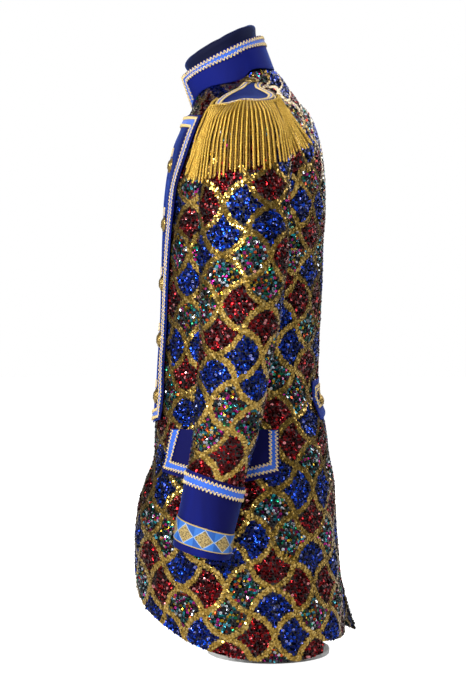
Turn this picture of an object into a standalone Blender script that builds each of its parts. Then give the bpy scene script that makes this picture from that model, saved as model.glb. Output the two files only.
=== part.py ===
"""A knee-length sequin coat with velvet collar, bib, cuffs and epaulettes, on a limbless dress form.

Metres, +Z up. The coat's front faces -Y and the wearer's left is +X. The floor is Z = 0.
"""
import bpy
import bmesh
from math import pi, sin, cos, atan2, sqrt, radians
from mathutils import Vector
from mathutils.bvhtree import BVHTree

# Driving sizes
CENTRE_Y = -0.0200      # moves the tables' Y so that the whole stands centred on the origin
WALL = 0.0020           # sequinned cloth
VELVET = 0.0020         # velvet pieces
BRAID = 0.0014          # braid and ribbon
GAP = 0.0004            # clear space where pieces meet
SEAM = 0.0003           # half of the space left along a seam
FORM_INSET = 0.0027     # the form's skin lies this far inside the coat's outer face at the shoulder
FORM_CLEAR = 0.0026     # and at least this far inside its inner face, measured level
FORM_SIDES = 28

# Sections of the coat's outer face, from the neck to the hem.
# height, back, front, side line, half width, power of the section's curve
COAT = (
    (0.870, 0.050, -0.045, 0.004, 0.060, 1.8),
    (0.853, 0.0616, -0.050, 0.016, 0.056, 1.8),
    (0.838, 0.074, -0.052, 0.028, 0.060, 1.75),
    (0.830, 0.079, -0.053, 0.030, 0.066, 1.75),
    (0.821, 0.085, -0.054, 0.029, 0.092, 1.75),
    (0.811, 0.092, -0.056, 0.027, 0.128, 1.75),
    (0.798, 0.102, -0.058, 0.024, 0.163, 1.8),
    (0.786, 0.112, -0.063, 0.020, 0.187, 1.9),
    (0.775, 0.117, -0.069, 0.018, 0.196, 2.0),
    (0.762, 0.121, -0.073, 0.017, 0.1995, 2.2),
    (0.737, 0.128, -0.0832, 0.016, 0.200, 2.35),
    (0.700, 0.1325, -0.0918, 0.015, 0.194, 2.45),
    (0.675, 0.134, -0.0953, 0.015, 0.182, 2.5),
    (0.655, 0.134, -0.0973, 0.015, 0.172, 2.5),
    (0.640, 0.134, -0.0978, 0.015, 0.167, 2.5),
    (0.600, 0.131, -0.0998, 0.015, 0.162, 2.45),
    (0.550, 0.130, -0.1013, 0.013, 0.156, 2.4),
    (0.490, 0.127, -0.1028, 0.012, 0.151, 2.4),
    (0.430, 0.1245, -0.1065, 0.010, 0.148, 2.4),
    (0.395, 0.1235, -0.1085, 0.010, 0.148, 2.4),
    (0.360, 0.128, -0.1115, 0.010, 0.150, 2.4),
    (0.335, 0.134, -0.1130, 0.010, 0.154, 2.4),
    (0.290, 0.140, -0.1140, 0.010, 0.159, 2.4),
    (0.250, 0.147, -0.1285, 0.008, 0.166, 2.4),
    (0.217, 0.149, -0.1380, 0.006, 0.172, 2.4),
    (0.170, 0.152, -0.1425, 0.005, 0.180, 2.4),
    (0.120, 0.156, -0.1420, 0.006, 0.185, 2.4),
    (0.070, 0.161, -0.1390, 0.008, 0.189, 2.4),
    (0.000, 0.164, -0.1350, 0.010, 0.192, 2.4),
)

# Seam between front and back: height, Y on the left side
SIDE_SEAM = ((0.655, 0.020), (0.600, 0.035), (0.500, 0.062), (0.403, 0.094), (0.340, 0.112),
             (0.250, 0.118), (0.150, 0.122), (0.020, 0.126))

# Front cutaway: Y of a place on the front's lower edge, its height
CUTAWAY = ((-0.1425, 0.160), (-0.141, 0.122), (-0.135, 0.101), (-0.125, 0.080), (-0.112, 0.066),
           (-0.096, 0.055), (-0.076, 0.044), (-0.048, 0.033), (-0.016, 0.023), (0.020, 0.015),
           (0.058, 0.011), (0.099, 0.012), (0.126, 0.018))
FRONT_PARTS = ((0.340, 0.0006), (0.300, 0.010), (0.250, 0.020), (0.200, 0.030), (0.160, 0.036))
HEM_BACK = 0.031        # height of the backs' hem at the vent
HEM_SIDE = 0.034        # and at the side seam
VENT_FLICK = 0.0145     # how far the right back's corner swings out
NECK_SHARE = 0.36       # share of a panel's width at the top that the neck takes
NECK_COLUMNS = (6, 3)   # columns along the neck, of the front and of the back

# Armhole: an ellipse in the side view, laid on the coat
ARMPIT = 0.655
ARMHOLE_Y = 0.018
ARMHOLE_HALF = 0.060
SHOULDER = 0.786

# Neck seam, an oval in plan
NECK_Y = 0.001
NECK_DEEP = 0.060
NECK_WIDE = 0.0625

# Soft flutes of the skirt: place round the half coat (degrees from the front), depth, spread
FLUTES = ((22, 0.0040, 10), (52, -0.0035, 12), (78, 0.0045, 11), (104, -0.0030, 10), (150, 0.0040, 9))
# Creases across the waist: height, place, depth, spread
CREASES = ((0.470, 60, -0.0022, 0.020), (0.430, 95, -0.0024, 0.017), (0.515, 110, -0.0020, 0.022),
           (0.620, 70, -0.0022, 0.018))

# Sleeve: outer X and Z, inner X and Z, middle Y, half depth; from the cuff up to the shoulder
SLEEVE = (
    (0.2615, 0.262, 0.1905, 0.262, -0.0235, 0.0375),
    (0.2640, 0.296, 0.1900, 0.296, -0.0178, 0.0395),
    (0.2680, 0.321, 0.1900, 0.321, -0.0112, 0.0432),
    (0.2750, 0.360, 0.1905, 0.360, -0.0050, 0.0470),
    (0.2800, 0.405, 0.1920, 0.405, -0.0005, 0.0485),
    (0.2840, 0.466, 0.1930, 0.466, 0.0080, 0.0535),
    (0.2860, 0.520, 0.1930, 0.520, 0.0112, 0.0568),
    (0.2850, 0.575, 0.1920, 0.570, 0.0145, 0.0605),
    (0.2820, 0.630, 0.1900, 0.604, 0.0152, 0.0610),
    (0.2760, 0.680, 0.1875, 0.622, 0.0158, 0.0612),
    (0.2630, 0.722, 0.1845, 0.634, 0.0165, 0.0618),
    (0.2420, 0.757, 0.1810, 0.643, 0.0172, 0.0620),
    (0.2150, 0.778, 0.1770, 0.650, 0.0178, 0.0615),
)
SLEEVE_POWER = 2.15
SLEEVE_OFF = 0.0015     # the sleeve's end over the coat at the armhole
SLEEVE_IN_CUFF = 2.62   # level of the cuff where the sleeve is sewn in

# Cuff: middle Y, Z, half depth, half width, slope and outward lean of the ring; bottom up
CUFF_X = 0.2255
CUFF = (
    (-0.0429, 0.1700, 0.0394, 0.0385, -0.24, -0.15),
    (-0.0384, 0.1980, 0.0392, 0.0388, -0.30, -0.10),
    (-0.0300, 0.2340, 0.0393, 0.0392, -0.33, -0.05),
    (-0.0238, 0.2690, 0.0394, 0.0396, -0.34, 0.00),
)

# Collar top: middle Y, Z, half depth, half width, slope
COLLAR_TOP = (-0.0165, 0.8750, 0.0590, 0.0600, 0.507)
COLLAR_OPEN = 5.0       # degrees of the oval left open at each side of the centre front

# Bib: height, half width
BIB = ((0.790, 0.151), (0.768, 0.152), (0.745, 0.156), (0.726, 0.153), (0.706, 0.145), (0.690, 0.134),
       (0.674, 0.1225), (0.656, 0.1135), (0.635, 0.106), (0.612, 0.099), (0.580, 0.091), (0.538, 0.0835),
       (0.500, 0.080), (0.453, 0.078), (0.415, 0.0785), (0.380, 0.083), (0.360, 0.084), (0.343, 0.080))
BIB_TOP = 0.785         # at the centre
BIB_CORNER = 0.769      # and at its upper corners
BIB_SIDE = 0.343
BIB_POINT = 0.336
BUTTONS = ((0.706, 0.086), (0.624, 0.062), (0.539, 0.052), (0.458, 0.046), (0.376, 0.050))  # height, half spacing

# Pocket flap: front and back Y at its top, lower corners and point
FLAP_TOP = (0.3315, -0.085, 0.063)
FLAP_LOW = (0.2690, -0.098, 0.064)
FLAP_POINT = 0.2520

# Half belt: its ends' bottom and top, how much each rises at the middle, its end in degrees from the front
BELT = (0.341, 0.398, 0.014, 0.007, 151.0)

# Epaulette board: distance out from the neck end, half width
BOARD = ((0.000, 0.0095), (0.006, 0.0130), (0.030, 0.0145), (0.046, 0.0175), (0.058, 0.0270),
         (0.070, 0.0365), (0.084, 0.0420), (0.098, 0.0425), (0.110, 0.0375), (0.118, 0.0280),
         (0.123, 0.0150))
BOARD_NECK = (0.103, 0.030, 0.824)
BOARD_END = (0.214, 0.012, 0.777)
BOARD_RISE = 0.33       # how much its back edge stands higher than its front edge
BOARD_THICK = 0.0035
STRANDS = 44
STRAND = 0.0027
STRAND_LENGTH = (       # Y of the root, length
    (-0.040, 0.107), (-0.016, 0.107), (0.012, 0.101), (0.030, 0.095), (0.042, 0.088), (0.062, 0.080),
)
STRAND_CLEAR = 0.0060   # from the cloth, measured level
STRAND_OFF = 0.0042     # and to its nearest place
BAND_IN = 0.0021        # how far the strands' band reaches in towards the board's edge

# Dress form: height at the side, rise at the back, inset from the coat
FORM = (
    (0.300, 0.000, 0.0140), (0.330, 0.000, 0.0100), (0.380, 0.000, 0.0080), (0.430, 0.000, 0.0075),
    (0.500, 0.000, 0.0080), (0.570, 0.000, 0.0090), (0.630, 0.000, 0.0110), (0.675, 0.000, 0.0200),
    (0.710, 0.000, 0.0260), (0.740, 0.001, 0.0220), (0.762, 0.003, 0.0140), (0.776, 0.005, 0.0060),
    (0.788, 0.008, FORM_INSET), (0.799, 0.012, FORM_INSET + 0.0006), (0.810, 0.016, FORM_INSET + 0.0014),
)
# Neck of the form: middle Y, Z, half depth, half width, slope
NECK = (
    (0.0010, 0.8200, 0.0540, 0.0560, 0.46),
    (-0.0050, 0.8450, 0.0500, 0.0525, 0.47),
    (-0.0120, 0.8660, 0.0500, 0.0510, 0.50),
    (-0.0170, 0.8810, 0.0505, 0.0505, 0.53),
    (-0.0185, 0.8865, 0.0525, 0.0530, 0.54),
    (-0.0195, 0.8915, 0.0525, 0.0530, 0.54),
    (-0.0200, 0.8955, 0.0480, 0.0490, 0.54),
)
# Stand: the column's and the base's outlines, radius and height; the base is oval
COLUMN = ((0.000, 0.2996), (0.045, 0.2996), (0.048, 0.292), (0.018, 0.278), (0.016, 0.250),
          (0.016, 0.030), (0.022, 0.0123), (0.000, 0.0123))
BASE = ((0.000, 0.0120), (0.092, 0.0100), (0.100, 0.0060), (0.100, 0.0000), (0.000, 0.0000))
COLUMN_Y = 0.030
BASE_OVAL = (1.25, 0.90)
BASE_Y = 0.052

for old in list(bpy.data.objects):
    bpy.data.objects.remove(old, do_unlink=True)
parts = bpy.data.collections.new("sequin_jacket")
bpy.context.scene.collection.children.link(parts)
middle = bpy.data.objects.new("middle", None)
middle.location = (0, CENTRE_Y, 0)
parts.objects.link(middle)


def colour(name, rgb, rough, metal=0.0):
    material = bpy.data.materials.new(name)
    material.use_nodes = True
    shader = material.node_tree.nodes["Principled BSDF"]
    shader.inputs["Base Color"].default_value = (*rgb, 1)
    shader.inputs["Roughness"].default_value = rough
    shader.inputs["Metallic"].default_value = metal
    material.diffuse_color = (*rgb, 1)
    return material


SEQUINS = colour("sequins", (0.10, 0.05, 0.03), 0.35, 0.6)
BLUE_VELVET = colour("blue_velvet", (0.01, 0.03, 0.42), 0.85)
BLUE_BRAID = colour("blue_braid", (0.10, 0.28, 0.72), 0.6)
GOLD_CORD = colour("gold_cord", (0.80, 0.48, 0.05), 0.45, 0.5)
GOLD_METAL = colour("gold_metal", (0.85, 0.58, 0.12), 0.25, 1.0)
FORM_VELVET = colour("form_velvet", (0.005, 0.007, 0.05), 0.9)
STAND_PAINT = colour("stand_paint", (0.80, 0.80, 0.78), 0.5)


def smooth(rows, at, column):
    """Read a column of a table at a height or place, with a smooth curve through the rows."""
    rows = sorted(rows)
    at = min(max(at, rows[0][0]), rows[-1][0])
    k = max(i for i in range(len(rows) - 1) if rows[i][0] <= at)
    x0, x1 = rows[k][0], rows[k + 1][0]
    y0, y1 = rows[k][column], rows[k + 1][column]
    step = (y1 - y0) / (x1 - x0)

    def slope(i):
        if i == 0 or i == len(rows) - 1:
            return step
        before = (rows[i][column] - rows[i - 1][column]) / (rows[i][0] - rows[i - 1][0])
        after = (rows[i + 1][column] - rows[i][column]) / (rows[i + 1][0] - rows[i][0])
        return 0.0 if before * after <= 0 else 2 * before * after / (before + after)

    t = (at - x0) / (x1 - x0)
    h = x1 - x0
    return ((1 + 2 * t) * (1 - t) ** 2 * y0 + t * (1 - t) ** 2 * h * slope(k)
            + t * t * (3 - 2 * t) * y1 + t * t * (t - 1) * h * slope(k + 1))


def bent(value, power):
    return (abs(value) ** (2 / power)) * (1 if value >= 0 else -1)


def coat(turn, z):
    """The coat's outer face: turn is 0 at the centre front, 90 at the left side, 180 at the back."""
    back, front, side, half, power = (smooth(COAT, z, c) for c in range(1, 6))
    a = radians(turn)
    deep = (side - front) if cos(a) > 0 else (back - side)
    x, y = half * bent(sin(a), power), side - deep * bent(cos(a), power)
    fold = 0.0
    fall = min(max((0.31 - z) / 0.25, 0), 1)
    for place, depth, spread in FLUTES:
        fold += fall * depth * 2.718 ** (-((turn - place) / spread) ** 2)
    for height, place, depth, spread in CREASES:
        along = (turn - place) / 26
        fold += depth * 2.718 ** (-((z - height - 0.012 * along) / spread) ** 2 - along * along)
    return Vector((x + fold * sin(a), y - fold * cos(a), z))


def lifted(surface, u, v, out, along=0.0, eu=0.5, ev=0.0015):
    """A place on a surface, moved out along its normal and along its first direction."""
    du = (surface(u + eu, v) - surface(u - eu, v)).normalized()
    dv = surface(u, v + ev) - surface(u, v - ev)
    return surface(u, v) + du.cross(dv).normalized() * out + du * along


def turn_at(y, z):
    """The turn at which the coat reaches this Y on its side."""
    back, front, side, half, power = (smooth(COAT, z, c) for c in range(1, 6))
    share = (side - y) / ((side - front) if y < side else (back - side))
    c = bent(max(-1, min(1, share)), 4 / power)
    return 180 / pi * atan2(sqrt(max(0, 1 - c * c)), c)


def turn_at_x(x, z):
    """The turn at which the front of the coat is this far from the middle."""
    half, power = smooth(COAT, z, 4), smooth(COAT, z, 5)
    s = min(1, x / half) ** (power / 2)
    return 180 / pi * atan2(s, sqrt(max(0, 1 - s * s)))


def height_at(x, y):
    """The coat's height over a place in plan, near the neck and shoulder."""
    low, high = 0.70, 0.869
    for _ in range(30):
        z = (low + high) / 2
        back, front, side, half, power = (smooth(COAT, z, c) for c in range(1, 6))
        deep = (side - front) if y < side else (back - side)
        if abs(x / half) ** power + abs((y - side) / deep) ** power > 1:
            high = z
        else:
            low = z
    return (low + high) / 2


def finish(name, bm, material, recalc=True):
    if recalc:
        bmesh.ops.recalc_face_normals(bm, faces=bm.faces)
    mesh = bpy.data.meshes.new(name)
    bm.to_mesh(mesh)
    bm.free()
    mesh.materials.append(material)
    mesh.shade_smooth()
    mesh.set_sharp_from_angle(angle=radians(40))
    item = bpy.data.objects.new(name, mesh)
    parts.objects.link(item)
    item.parent = middle
    return item


def shell(name, inner, outer, material, wrap=False, mirror=False):
    """A closed wall between two grids of points, which are alike."""
    bm = bmesh.new()
    flip = -1 if mirror else 1
    a = [[bm.verts.new((p.x * flip, p.y, p.z)) for p in row] for row in inner]
    b = [[bm.verts.new((p.x * flip, p.y, p.z)) for p in row] for row in outer]
    rows, columns = len(a), len(a[0])
    last = columns if wrap else columns - 1
    for i in range(rows - 1):
        for j in range(last):
            k = (j + 1) % columns
            bm.faces.new((b[i][j], b[i][k], b[i + 1][k], b[i + 1][j]))
            bm.faces.new((a[i][j], a[i + 1][j], a[i + 1][k], a[i][k]))
    for j in range(last):
        k = (j + 1) % columns
        bm.faces.new((a[0][j], a[0][k], b[0][k], b[0][j]))
        bm.faces.new((a[-1][j], b[-1][j], b[-1][k], a[-1][k]))
    if not wrap:
        for i in range(rows - 1):
            bm.faces.new((a[i][0], b[i][0], b[i + 1][0], a[i + 1][0]))
            bm.faces.new((a[i][-1], a[i + 1][-1], b[i + 1][-1], b[i][-1]))
    return finish(name, bm, material)


def layers(surface, grid, out, along=None, ev=0.0015):
    return [[lifted(surface, u, v, out, along(i, j) if along else 0.0, ev=ev) for j, (u, v) in enumerate(row)]
            for i, row in enumerate(grid)]


def wall(name, surface, grid, near, far, material, wrap=False, mirror=False, along=None, ev=0.0015):
    """A wall over places of a surface, from one distance out to another."""
    return shell(name, layers(surface, grid, near, along, ev), layers(surface, grid, far, along, ev),
                 material, wrap, mirror)


def tree_of(name):
    bpy.context.view_layer.update()
    return BVHTree.FromObject(bpy.data.objects[name], bpy.context.evaluated_depsgraph_get())


CLEAR = {}              # how far out each laid piece came to lie


def laid(name, surface, grid, thick, material, over, wrap=False, mirror=False, ev=0.0015, start=GAP):
    """A wall laid on other pieces: it is moved out in small steps until it is clear of them."""
    trees = [tree_of(other) for other in over]
    out = start
    while True:
        item = wall(name, surface, grid, out, out + thick, material, wrap, mirror, ev=ev)
        tree = tree_of(name)
        if not any(tree.overlap(other) for other in trees):
            break
        mesh = item.data
        bpy.data.objects.remove(item)
        bpy.data.meshes.remove(mesh)
        out += 0.0002
        if out > start + 0.006:
            raise ValueError(name + " doesn't clear what it lies on")
    CLEAR[name] = out


def spread(first, last, count):
    return [first + (last - first) * i / (count - 1) for i in range(count)]


def both(make):
    for side, mirror in (("left", False), ("right", True)):
        make(side, mirror)


# Coat fronts and backs

def neck_edge(phi):
    """The neck seam: phi is 0 at the front and 180 at the back. Gives turn and height."""
    x = (NECK_WIDE + 0.0012) * sin(radians(phi))
    y = NECK_Y - (NECK_DEEP + 0.0012) * cos(radians(phi))
    z = height_at(x, y)
    back, front, side, half, power = (smooth(COAT, z, c) for c in range(1, 6))
    deep = (side - front) if y < side else (back - side)
    across = (abs(x) / half) ** (power / 2)
    ahead = bent((side - y) / deep, 4 / power)
    return 180 / pi * atan2(across, ahead), z


def neck_meets_shoulder():
    """The place on the neck seam where the shoulder seam starts."""
    low, high = 60.0, 170.0
    for _ in range(30):
        phi = (low + high) / 2
        if neck_edge(phi)[0] < 90:
            low = phi
        else:
            high = phi
    return low


def armhole(share, front):
    """The armhole from the armpit (0) to the shoulder (1), along its front or its back."""
    a = pi * share
    z = (ARMPIT + SHOULDER) / 2 - (SHOULDER - ARMPIT) / 2 * cos(a)
    end = turn_at(smooth(SIDE_SEAM, ARMPIT, 1), ARMPIT)
    y = ARMHOLE_Y + ARMHOLE_HALF * sin(a) * (-1 if front else 1)
    turn = turn_at(y, z)
    edge = end + (90 - end) * share
    blend = sin(a) ** 0.5 if 0 < share < 1 else 0
    return edge + (turn - edge) * blend, z


def shares(front):
    """Where a panel's columns stand across it: some along the neck, six along the shoulder."""
    neck = NECK_COLUMNS[0 if front else 1]
    along = [NECK_SHARE * i / neck for i in range(neck)]
    return along + spread(NECK_SHARE, 1, 7)


def upper(front, rows):
    """Places of a panel above the armpit, inside four edges: middle, armhole, armpit row and top."""
    centre = 0 if front else 180
    seam_turn = turn_at(smooth(SIDE_SEAM, ARMPIT, 1), ARMPIT)
    neck_share = NECK_SHARE
    neck_low = neck_edge(centre)[1]
    meets = neck_meets_shoulder()
    ridge_low = neck_edge(meets)[1]

    def top(s):
        if s <= neck_share:
            share = s / neck_share
            phi = centre + (meets - centre) * share
            turn, z = neck_edge(phi)
            return (centre if s == 0 else 90 if share == 1 else turn), z
        share = (s - neck_share) / (1 - neck_share)
        return 90, ridge_low + (SHOULDER - ridge_low) * share ** 0.8

    def bottom(s):
        return centre + (seam_turn - centre) * s, ARMPIT

    def middle_line(t):
        return centre, ARMPIT + (neck_low - ARMPIT) * t

    out = []
    for j in range(rows + 1):
        t = j / rows
        row = []
        for s in shares(front):
            b, u, l, r = bottom(s), top(s), middle_line(t), armhole(t, front)
            c00, c10, c01, c11 = bottom(0), bottom(1), top(0), top(1)
            row.append(tuple((1 - t) * b[k] + t * u[k] + (1 - s) * l[k] + s * r[k]
                             - (1 - s) * (1 - t) * c00[k] - s * (1 - t) * c10[k]
                             - (1 - s) * t * c01[k] - s * t * c11[k] for k in (0, 1)))
        out.append(row)
    return out


LEVELS = (0.28, 0.315, 0.35, 0.385, 0.42, 0.455, 0.49, 0.53, 0.575, 0.62)
LOW_ROWS = 8
TOP_ROWS = 9


def front_places():
    rows = []
    places = shares(True)
    for t in spread(0, 1, LOW_ROWS + 1)[:-1]:
        row = []
        for s in places:
            y = CUTAWAY[0][0] + (CUTAWAY[-1][0] - CUTAWAY[0][0]) * (1 - cos(pi * s)) / 2
            hem = smooth(CUTAWAY, y, 1)
            z = hem + (LEVELS[0] - hem) * t
            start = turn_at_x(smooth(FRONT_PARTS, z, 1), z)
            end = turn_at(smooth(SIDE_SEAM, z, 1), z)
            even = start + (end - start) * s
            row.append((even if s in (0, 1) else turn_at(y, z) * (1 - t) + even * t, z))
        rows.append(row)
    for z in LEVELS:
        start = turn_at_x(smooth(FRONT_PARTS, z, 1), z) if z < 0.34 else 0
        end = turn_at(smooth(SIDE_SEAM, z, 1), z)
        rows.append([(start + (end - start) * s, z) for s in places])
    return rows + upper(True, TOP_ROWS)


def back_places():
    rows = []
    for t in spread(0, 1, LOW_ROWS + 1)[:-1]:
        row = []
        for s in shares(False):
            hem = HEM_BACK + (HEM_SIDE - HEM_BACK) * s
            z = hem + (LEVELS[0] - hem) * t
            row.append((180 + (turn_at(smooth(SIDE_SEAM, z, 1), z) - 180) * s, z))
        rows.append(row)
    for z in LEVELS:
        end = turn_at(smooth(SIDE_SEAM, z, 1), z)
        rows.append([(180 + (end - 180) * s, z) for s in shares(False)])
    return rows + upper(False, TOP_ROWS)


def seam_shift(front):
    """Leaves the seam's space at the middle and side edges, and along the shoulder."""
    neck = NECK_COLUMNS[0 if front else 1]
    count = neck + 6

    def along(i, j):
        if i == LOW_ROWS + len(LEVELS) + TOP_ROWS and j >= neck:
            return -SEAM if front else SEAM
        if j == 0:
            return SEAM if front else -SEAM
        if j == count:
            return -SEAM if front else SEAM
        return 0.0
    return along


def flicked(turn, z):
    """The right back's corner at the vent swings out behind the hem."""
    share = max(turn - 164, 0) / 16 * min(max((0.125 - z) / 0.08, 0), 1.2) ** 1.6
    return coat(turn, z) + Vector((0.3, 1, 0)) * (VENT_FLICK * share)


def make_coat(side, mirror):
    wall("coat_front_" + side, coat, front_places(), -WALL, 0, SEQUINS, mirror=mirror,
         along=seam_shift(True))
    wall("coat_back_" + side, flicked if mirror else coat, back_places(), -WALL, 0, SEQUINS, mirror=mirror,
         along=seam_shift(False))


both(make_coat)

# Sleeves, from inside the cuff to the armhole

def cuff(turn, level):
    """Turn is 0 outside, 90 at the back. Level counts the table's rows from the bottom up."""
    a = radians(turn)
    rows = [(i, *row) for i, row in enumerate(CUFF)]
    y, z, deep, wide, slope, lean = (smooth(rows, level, c) for c in range(1, 7))
    dx, dy = wide * bent(cos(a), 2.2), deep * bent(sin(a), 2.2)
    return Vector((CUFF_X + dx, y + dy, z + dy * slope + dx * lean))


def sleeve(turn, ring):
    """Turn is 0 outside, 90 at the back. Ring counts the table's rows from the cuff up."""
    a = radians(turn)
    rows = [(i, *row) for i, row in enumerate(SLEEVE)]
    top = len(SLEEVE) - 1
    r = min(ring, top)
    xo, zo, xi, zi, y, half = (smooth(rows, r, c) for c in range(1, 7))
    c, s = bent(cos(a), SLEEVE_POWER), bent(sin(a), SLEEVE_POWER)
    p = Vector(((xo + xi) / 2 + (xo - xi) / 2 * c, y + half * s, (zo + zi) / 2 + (zo - zi) / 2 * c))
    if ring < 2:
        level = min(SLEEVE_IN_CUFF + (3 - SLEEVE_IN_CUFF) * ring, 3)
        q = lifted(cuff, turn, level, -(VELVET + GAP), ev=0.02)
        p = q.lerp(p, max(ring - 1, 0))
    if ring > top:
        angle = atan2(abs(sin(a)), -cos(a)) / pi
        place = armhole(angle, sin(a) < 0)
        q = lifted(coat, place[0], place[1], SLEEVE_OFF)
        q += Vector((0, 0.0012 * s, 0.0012 * c))
        p = p.lerp(q, min(ring - top, 1.2))
    return p


def tube(count, levels):
    return [[(360 * k / count, v) for k in range(count)] for v in levels]


def make_sleeve(side, mirror):
    wall("sleeve_" + side, sleeve, tube(16, range(len(SLEEVE) + 1)), -WALL, 0, SEQUINS, True, mirror, ev=0.02)


both(make_sleeve)


# Cuffs with their braid and ribbon

def make_cuff(side, mirror):
    wall("cuff_" + side, cuff, tube(16, (0, 1, 2, 3)), -VELVET, 0, BLUE_VELVET, True, mirror, ev=0.02)
    for name, low, high in (("cuff_braid_", 2.50, 2.86), ("cuff_ribbon_", 0.34, 1.25)):
        laid(name + side, cuff, tube(16, (low, high)), BRAID, BLUE_BRAID, ["cuff_" + side], True, mirror, ev=0.02)


both(make_cuff)


# Stand collar

def collar(phi, level):
    """Phi goes from 0 at the centre front by the left side to 360. Level is 0 at the seam, 1 on top."""
    a = radians(phi)
    x, y = NECK_WIDE * sin(a), NECK_Y - NECK_DEEP * cos(a)
    low = Vector((x, y, height_at(x, y) + 0.0016))
    ty, tz, deep, wide, slope = COLLAR_TOP
    dy = -deep * cos(a)
    high = Vector((wide * sin(a), ty + dy, tz + dy * slope))
    return low.lerp(high, level)


turns = spread(COLLAR_OPEN, 360 - COLLAR_OPEN, 25)
wall("collar", collar, [[(u, v) for u in turns] for v in spread(0, 1, 4)], -VELVET, 0, BLUE_VELVET, ev=0.02)
# The braid follows the top edge and turns down both front edges.
far = COLLAR_OPEN + 4
near = far + 11
outer = [(far, 0.08), (far, 0.94)] + [(u, 0.94) for u in turns[1:-1]] + [(360 - far, 0.94), (360 - far, 0.08)]
inner = [(near, 0.08), (near, 0.71)] + [(min(max(u, near), 360 - near), 0.71) for u in turns[1:-1]]
inner += [(360 - near, 0.71), (360 - near, 0.08)]
laid("collar_braid", collar, [inner, outer], BRAID, BLUE_BRAID, ["collar"], ev=0.02)


# Bib with its braid and buttonhole braids

def bib_turn(z, inset):
    return turn_at_x(smooth(BIB, z, 1) - inset, z)


def bib_bottom(share):
    return BIB_POINT + (BIB_SIDE - BIB_POINT) * abs(share)


def bib_top(share):
    return BIB_TOP - (BIB_TOP - BIB_CORNER) * abs(share)


def bib_places(columns, rows):
    grid = []
    for t in spread(0, 1, rows + 1):
        row = []
        for share in spread(-1, 1, columns + 1):
            low = bib_bottom(share)
            z = low + (bib_top(share) - low) * t
            row.append((bib_turn(z, 0) * share, z))
        grid.append(row)
    return grid


def full(turn, z):
    """The coat's front on both sides, with a negative turn on the right."""
    p = coat(abs(turn), z)
    return p if turn >= 0 else Vector((-p.x, p.y, p.z))


laid("bib", full, bib_places(14, 12), VELVET, BLUE_VELVET, ["coat_front_left", "coat_front_right"])
BIB_FACE = CLEAR["bib"] + VELVET + GAP


def frame_line(inset):
    left = [(bib_turn(z, inset), z) for z in spread(BIB_CORNER - 0.012, BIB_SIDE + 0.014, 13)]
    left[0] = (bib_turn(BIB_CORNER - inset, inset), BIB_CORNER - inset)
    left[-1] = (bib_turn(BIB_SIDE + inset, inset), bib_bottom(1) + inset)
    low = [(bib_turn(BIB_SIDE, inset) * s, bib_bottom(s) + inset) for s in (0.57, 0.19, -0.19, -0.57)]
    right = [(-u, z) for u, z in reversed(left)]
    top = [(bib_turn(bib_top(s) - inset, inset) * s, bib_top(s) - inset) for s in spread(-1, 1, 15)[1:-1]]
    return left + low + right + top


laid("bib_braid", full, [frame_line(0.004), frame_line(0.015)], BRAID, BLUE_BRAID, ["bib"], wrap=True,
     start=BIB_FACE)


# Buttons

def facing(surface, u, v, out, **steps):
    """A place on a surface and its outward direction."""
    p = lifted(surface, u, v, out, **steps)
    q = lifted(surface, u, v, out + 0.01, **steps)
    return p, (q - p).normalized()


def button(name, place, normal, radius, over, mirror=False):
    """A domed gold button with a rim, turned about its own axis and seated on other pieces."""
    profile = ((0.0, 0.0062), (0.5, 0.0054), (0.84, 0.0030), (1.0, 0.0026), (1.0, 0.0006), (0.0, 0.0))
    bm = bmesh.new()
    points = [bm.verts.new((r * radius, 0, z * radius / 0.011)) for r, z in profile]
    for a, b in zip(points, points[1:]):
        bm.edges.new((a, b))
    mesh = bpy.data.meshes.new(name)
    bm.to_mesh(mesh)
    bm.free()
    mesh.materials.append(GOLD_METAL)
    item = bpy.data.objects.new(name, mesh)
    parts.objects.link(item)
    item.parent = middle
    turned = item.modifiers.new("turned", "SCREW")
    turned.steps = 10
    turned.render_steps = 10
    turned.use_merge_vertices = True
    turned.merge_threshold = 0.00005
    place, normal = place.copy(), normal.copy()
    if mirror:
        place.x, normal.x = -place.x, -normal.x
    turn = normal.to_track_quat("Z", "Y")
    item.rotation_euler = turn.to_euler()
    trees = [tree_of(other) for other in over]
    shape = item.evaluated_get(bpy.context.evaluated_depsgraph_get()).to_mesh()
    corners = [turn @ vert.co for vert in shape.vertices]
    faces = [tuple(face.vertices) for face in shape.polygons]
    while True:
        tree = BVHTree.FromPolygons([place + corner for corner in corners], faces)
        if not any(tree.overlap(other) for other in trees):
            break
        place += normal * 0.0002
    item.location = place + normal * 0.0002


def button_turn(z, beside=0.0):
    return turn_at_x(smooth(BUTTONS, z, 1) + beside, z)


for number, (z, _) in enumerate(BUTTONS, 1):
    for side, sign in (("left", 1), ("right", -1)):
        place, normal = facing(coat, button_turn(z), z, BIB_FACE - 0.0012)
        button(f"button_{side}_{number}", place, normal, 0.0108, ["bib", "bib_braid"], sign < 0)
        rows = [[(sign * button_turn(h, dx), h) for dx in (0.0055, -0.0055)]
                for h in (z + 0.0125, z + 0.0235)]
        laid(f"bib_tab_{side}_{number}", full, rows, BRAID, BLUE_BRAID, ["bib", "bib_braid"],
             start=BIB_FACE - 0.0012)


# Pocket flaps with their braid

def flap_line(inset_side, inset_low, share):
    """The flap's top and its lower edge at a share of its width, each as Y and height."""
    z_top, front_top, back_top = FLAP_TOP
    z_low, front_low, back_low = FLAP_LOW
    a, b = front_top + inset_side, back_top - inset_side
    c, d = front_low + inset_side, back_low - inset_side
    low_z = z_low - (z_low - FLAP_POINT) * (1 - abs(2 * share - 1)) + inset_low
    return (a + (b - a) * share, z_top), (c + (d - c) * share, low_z)


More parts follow.
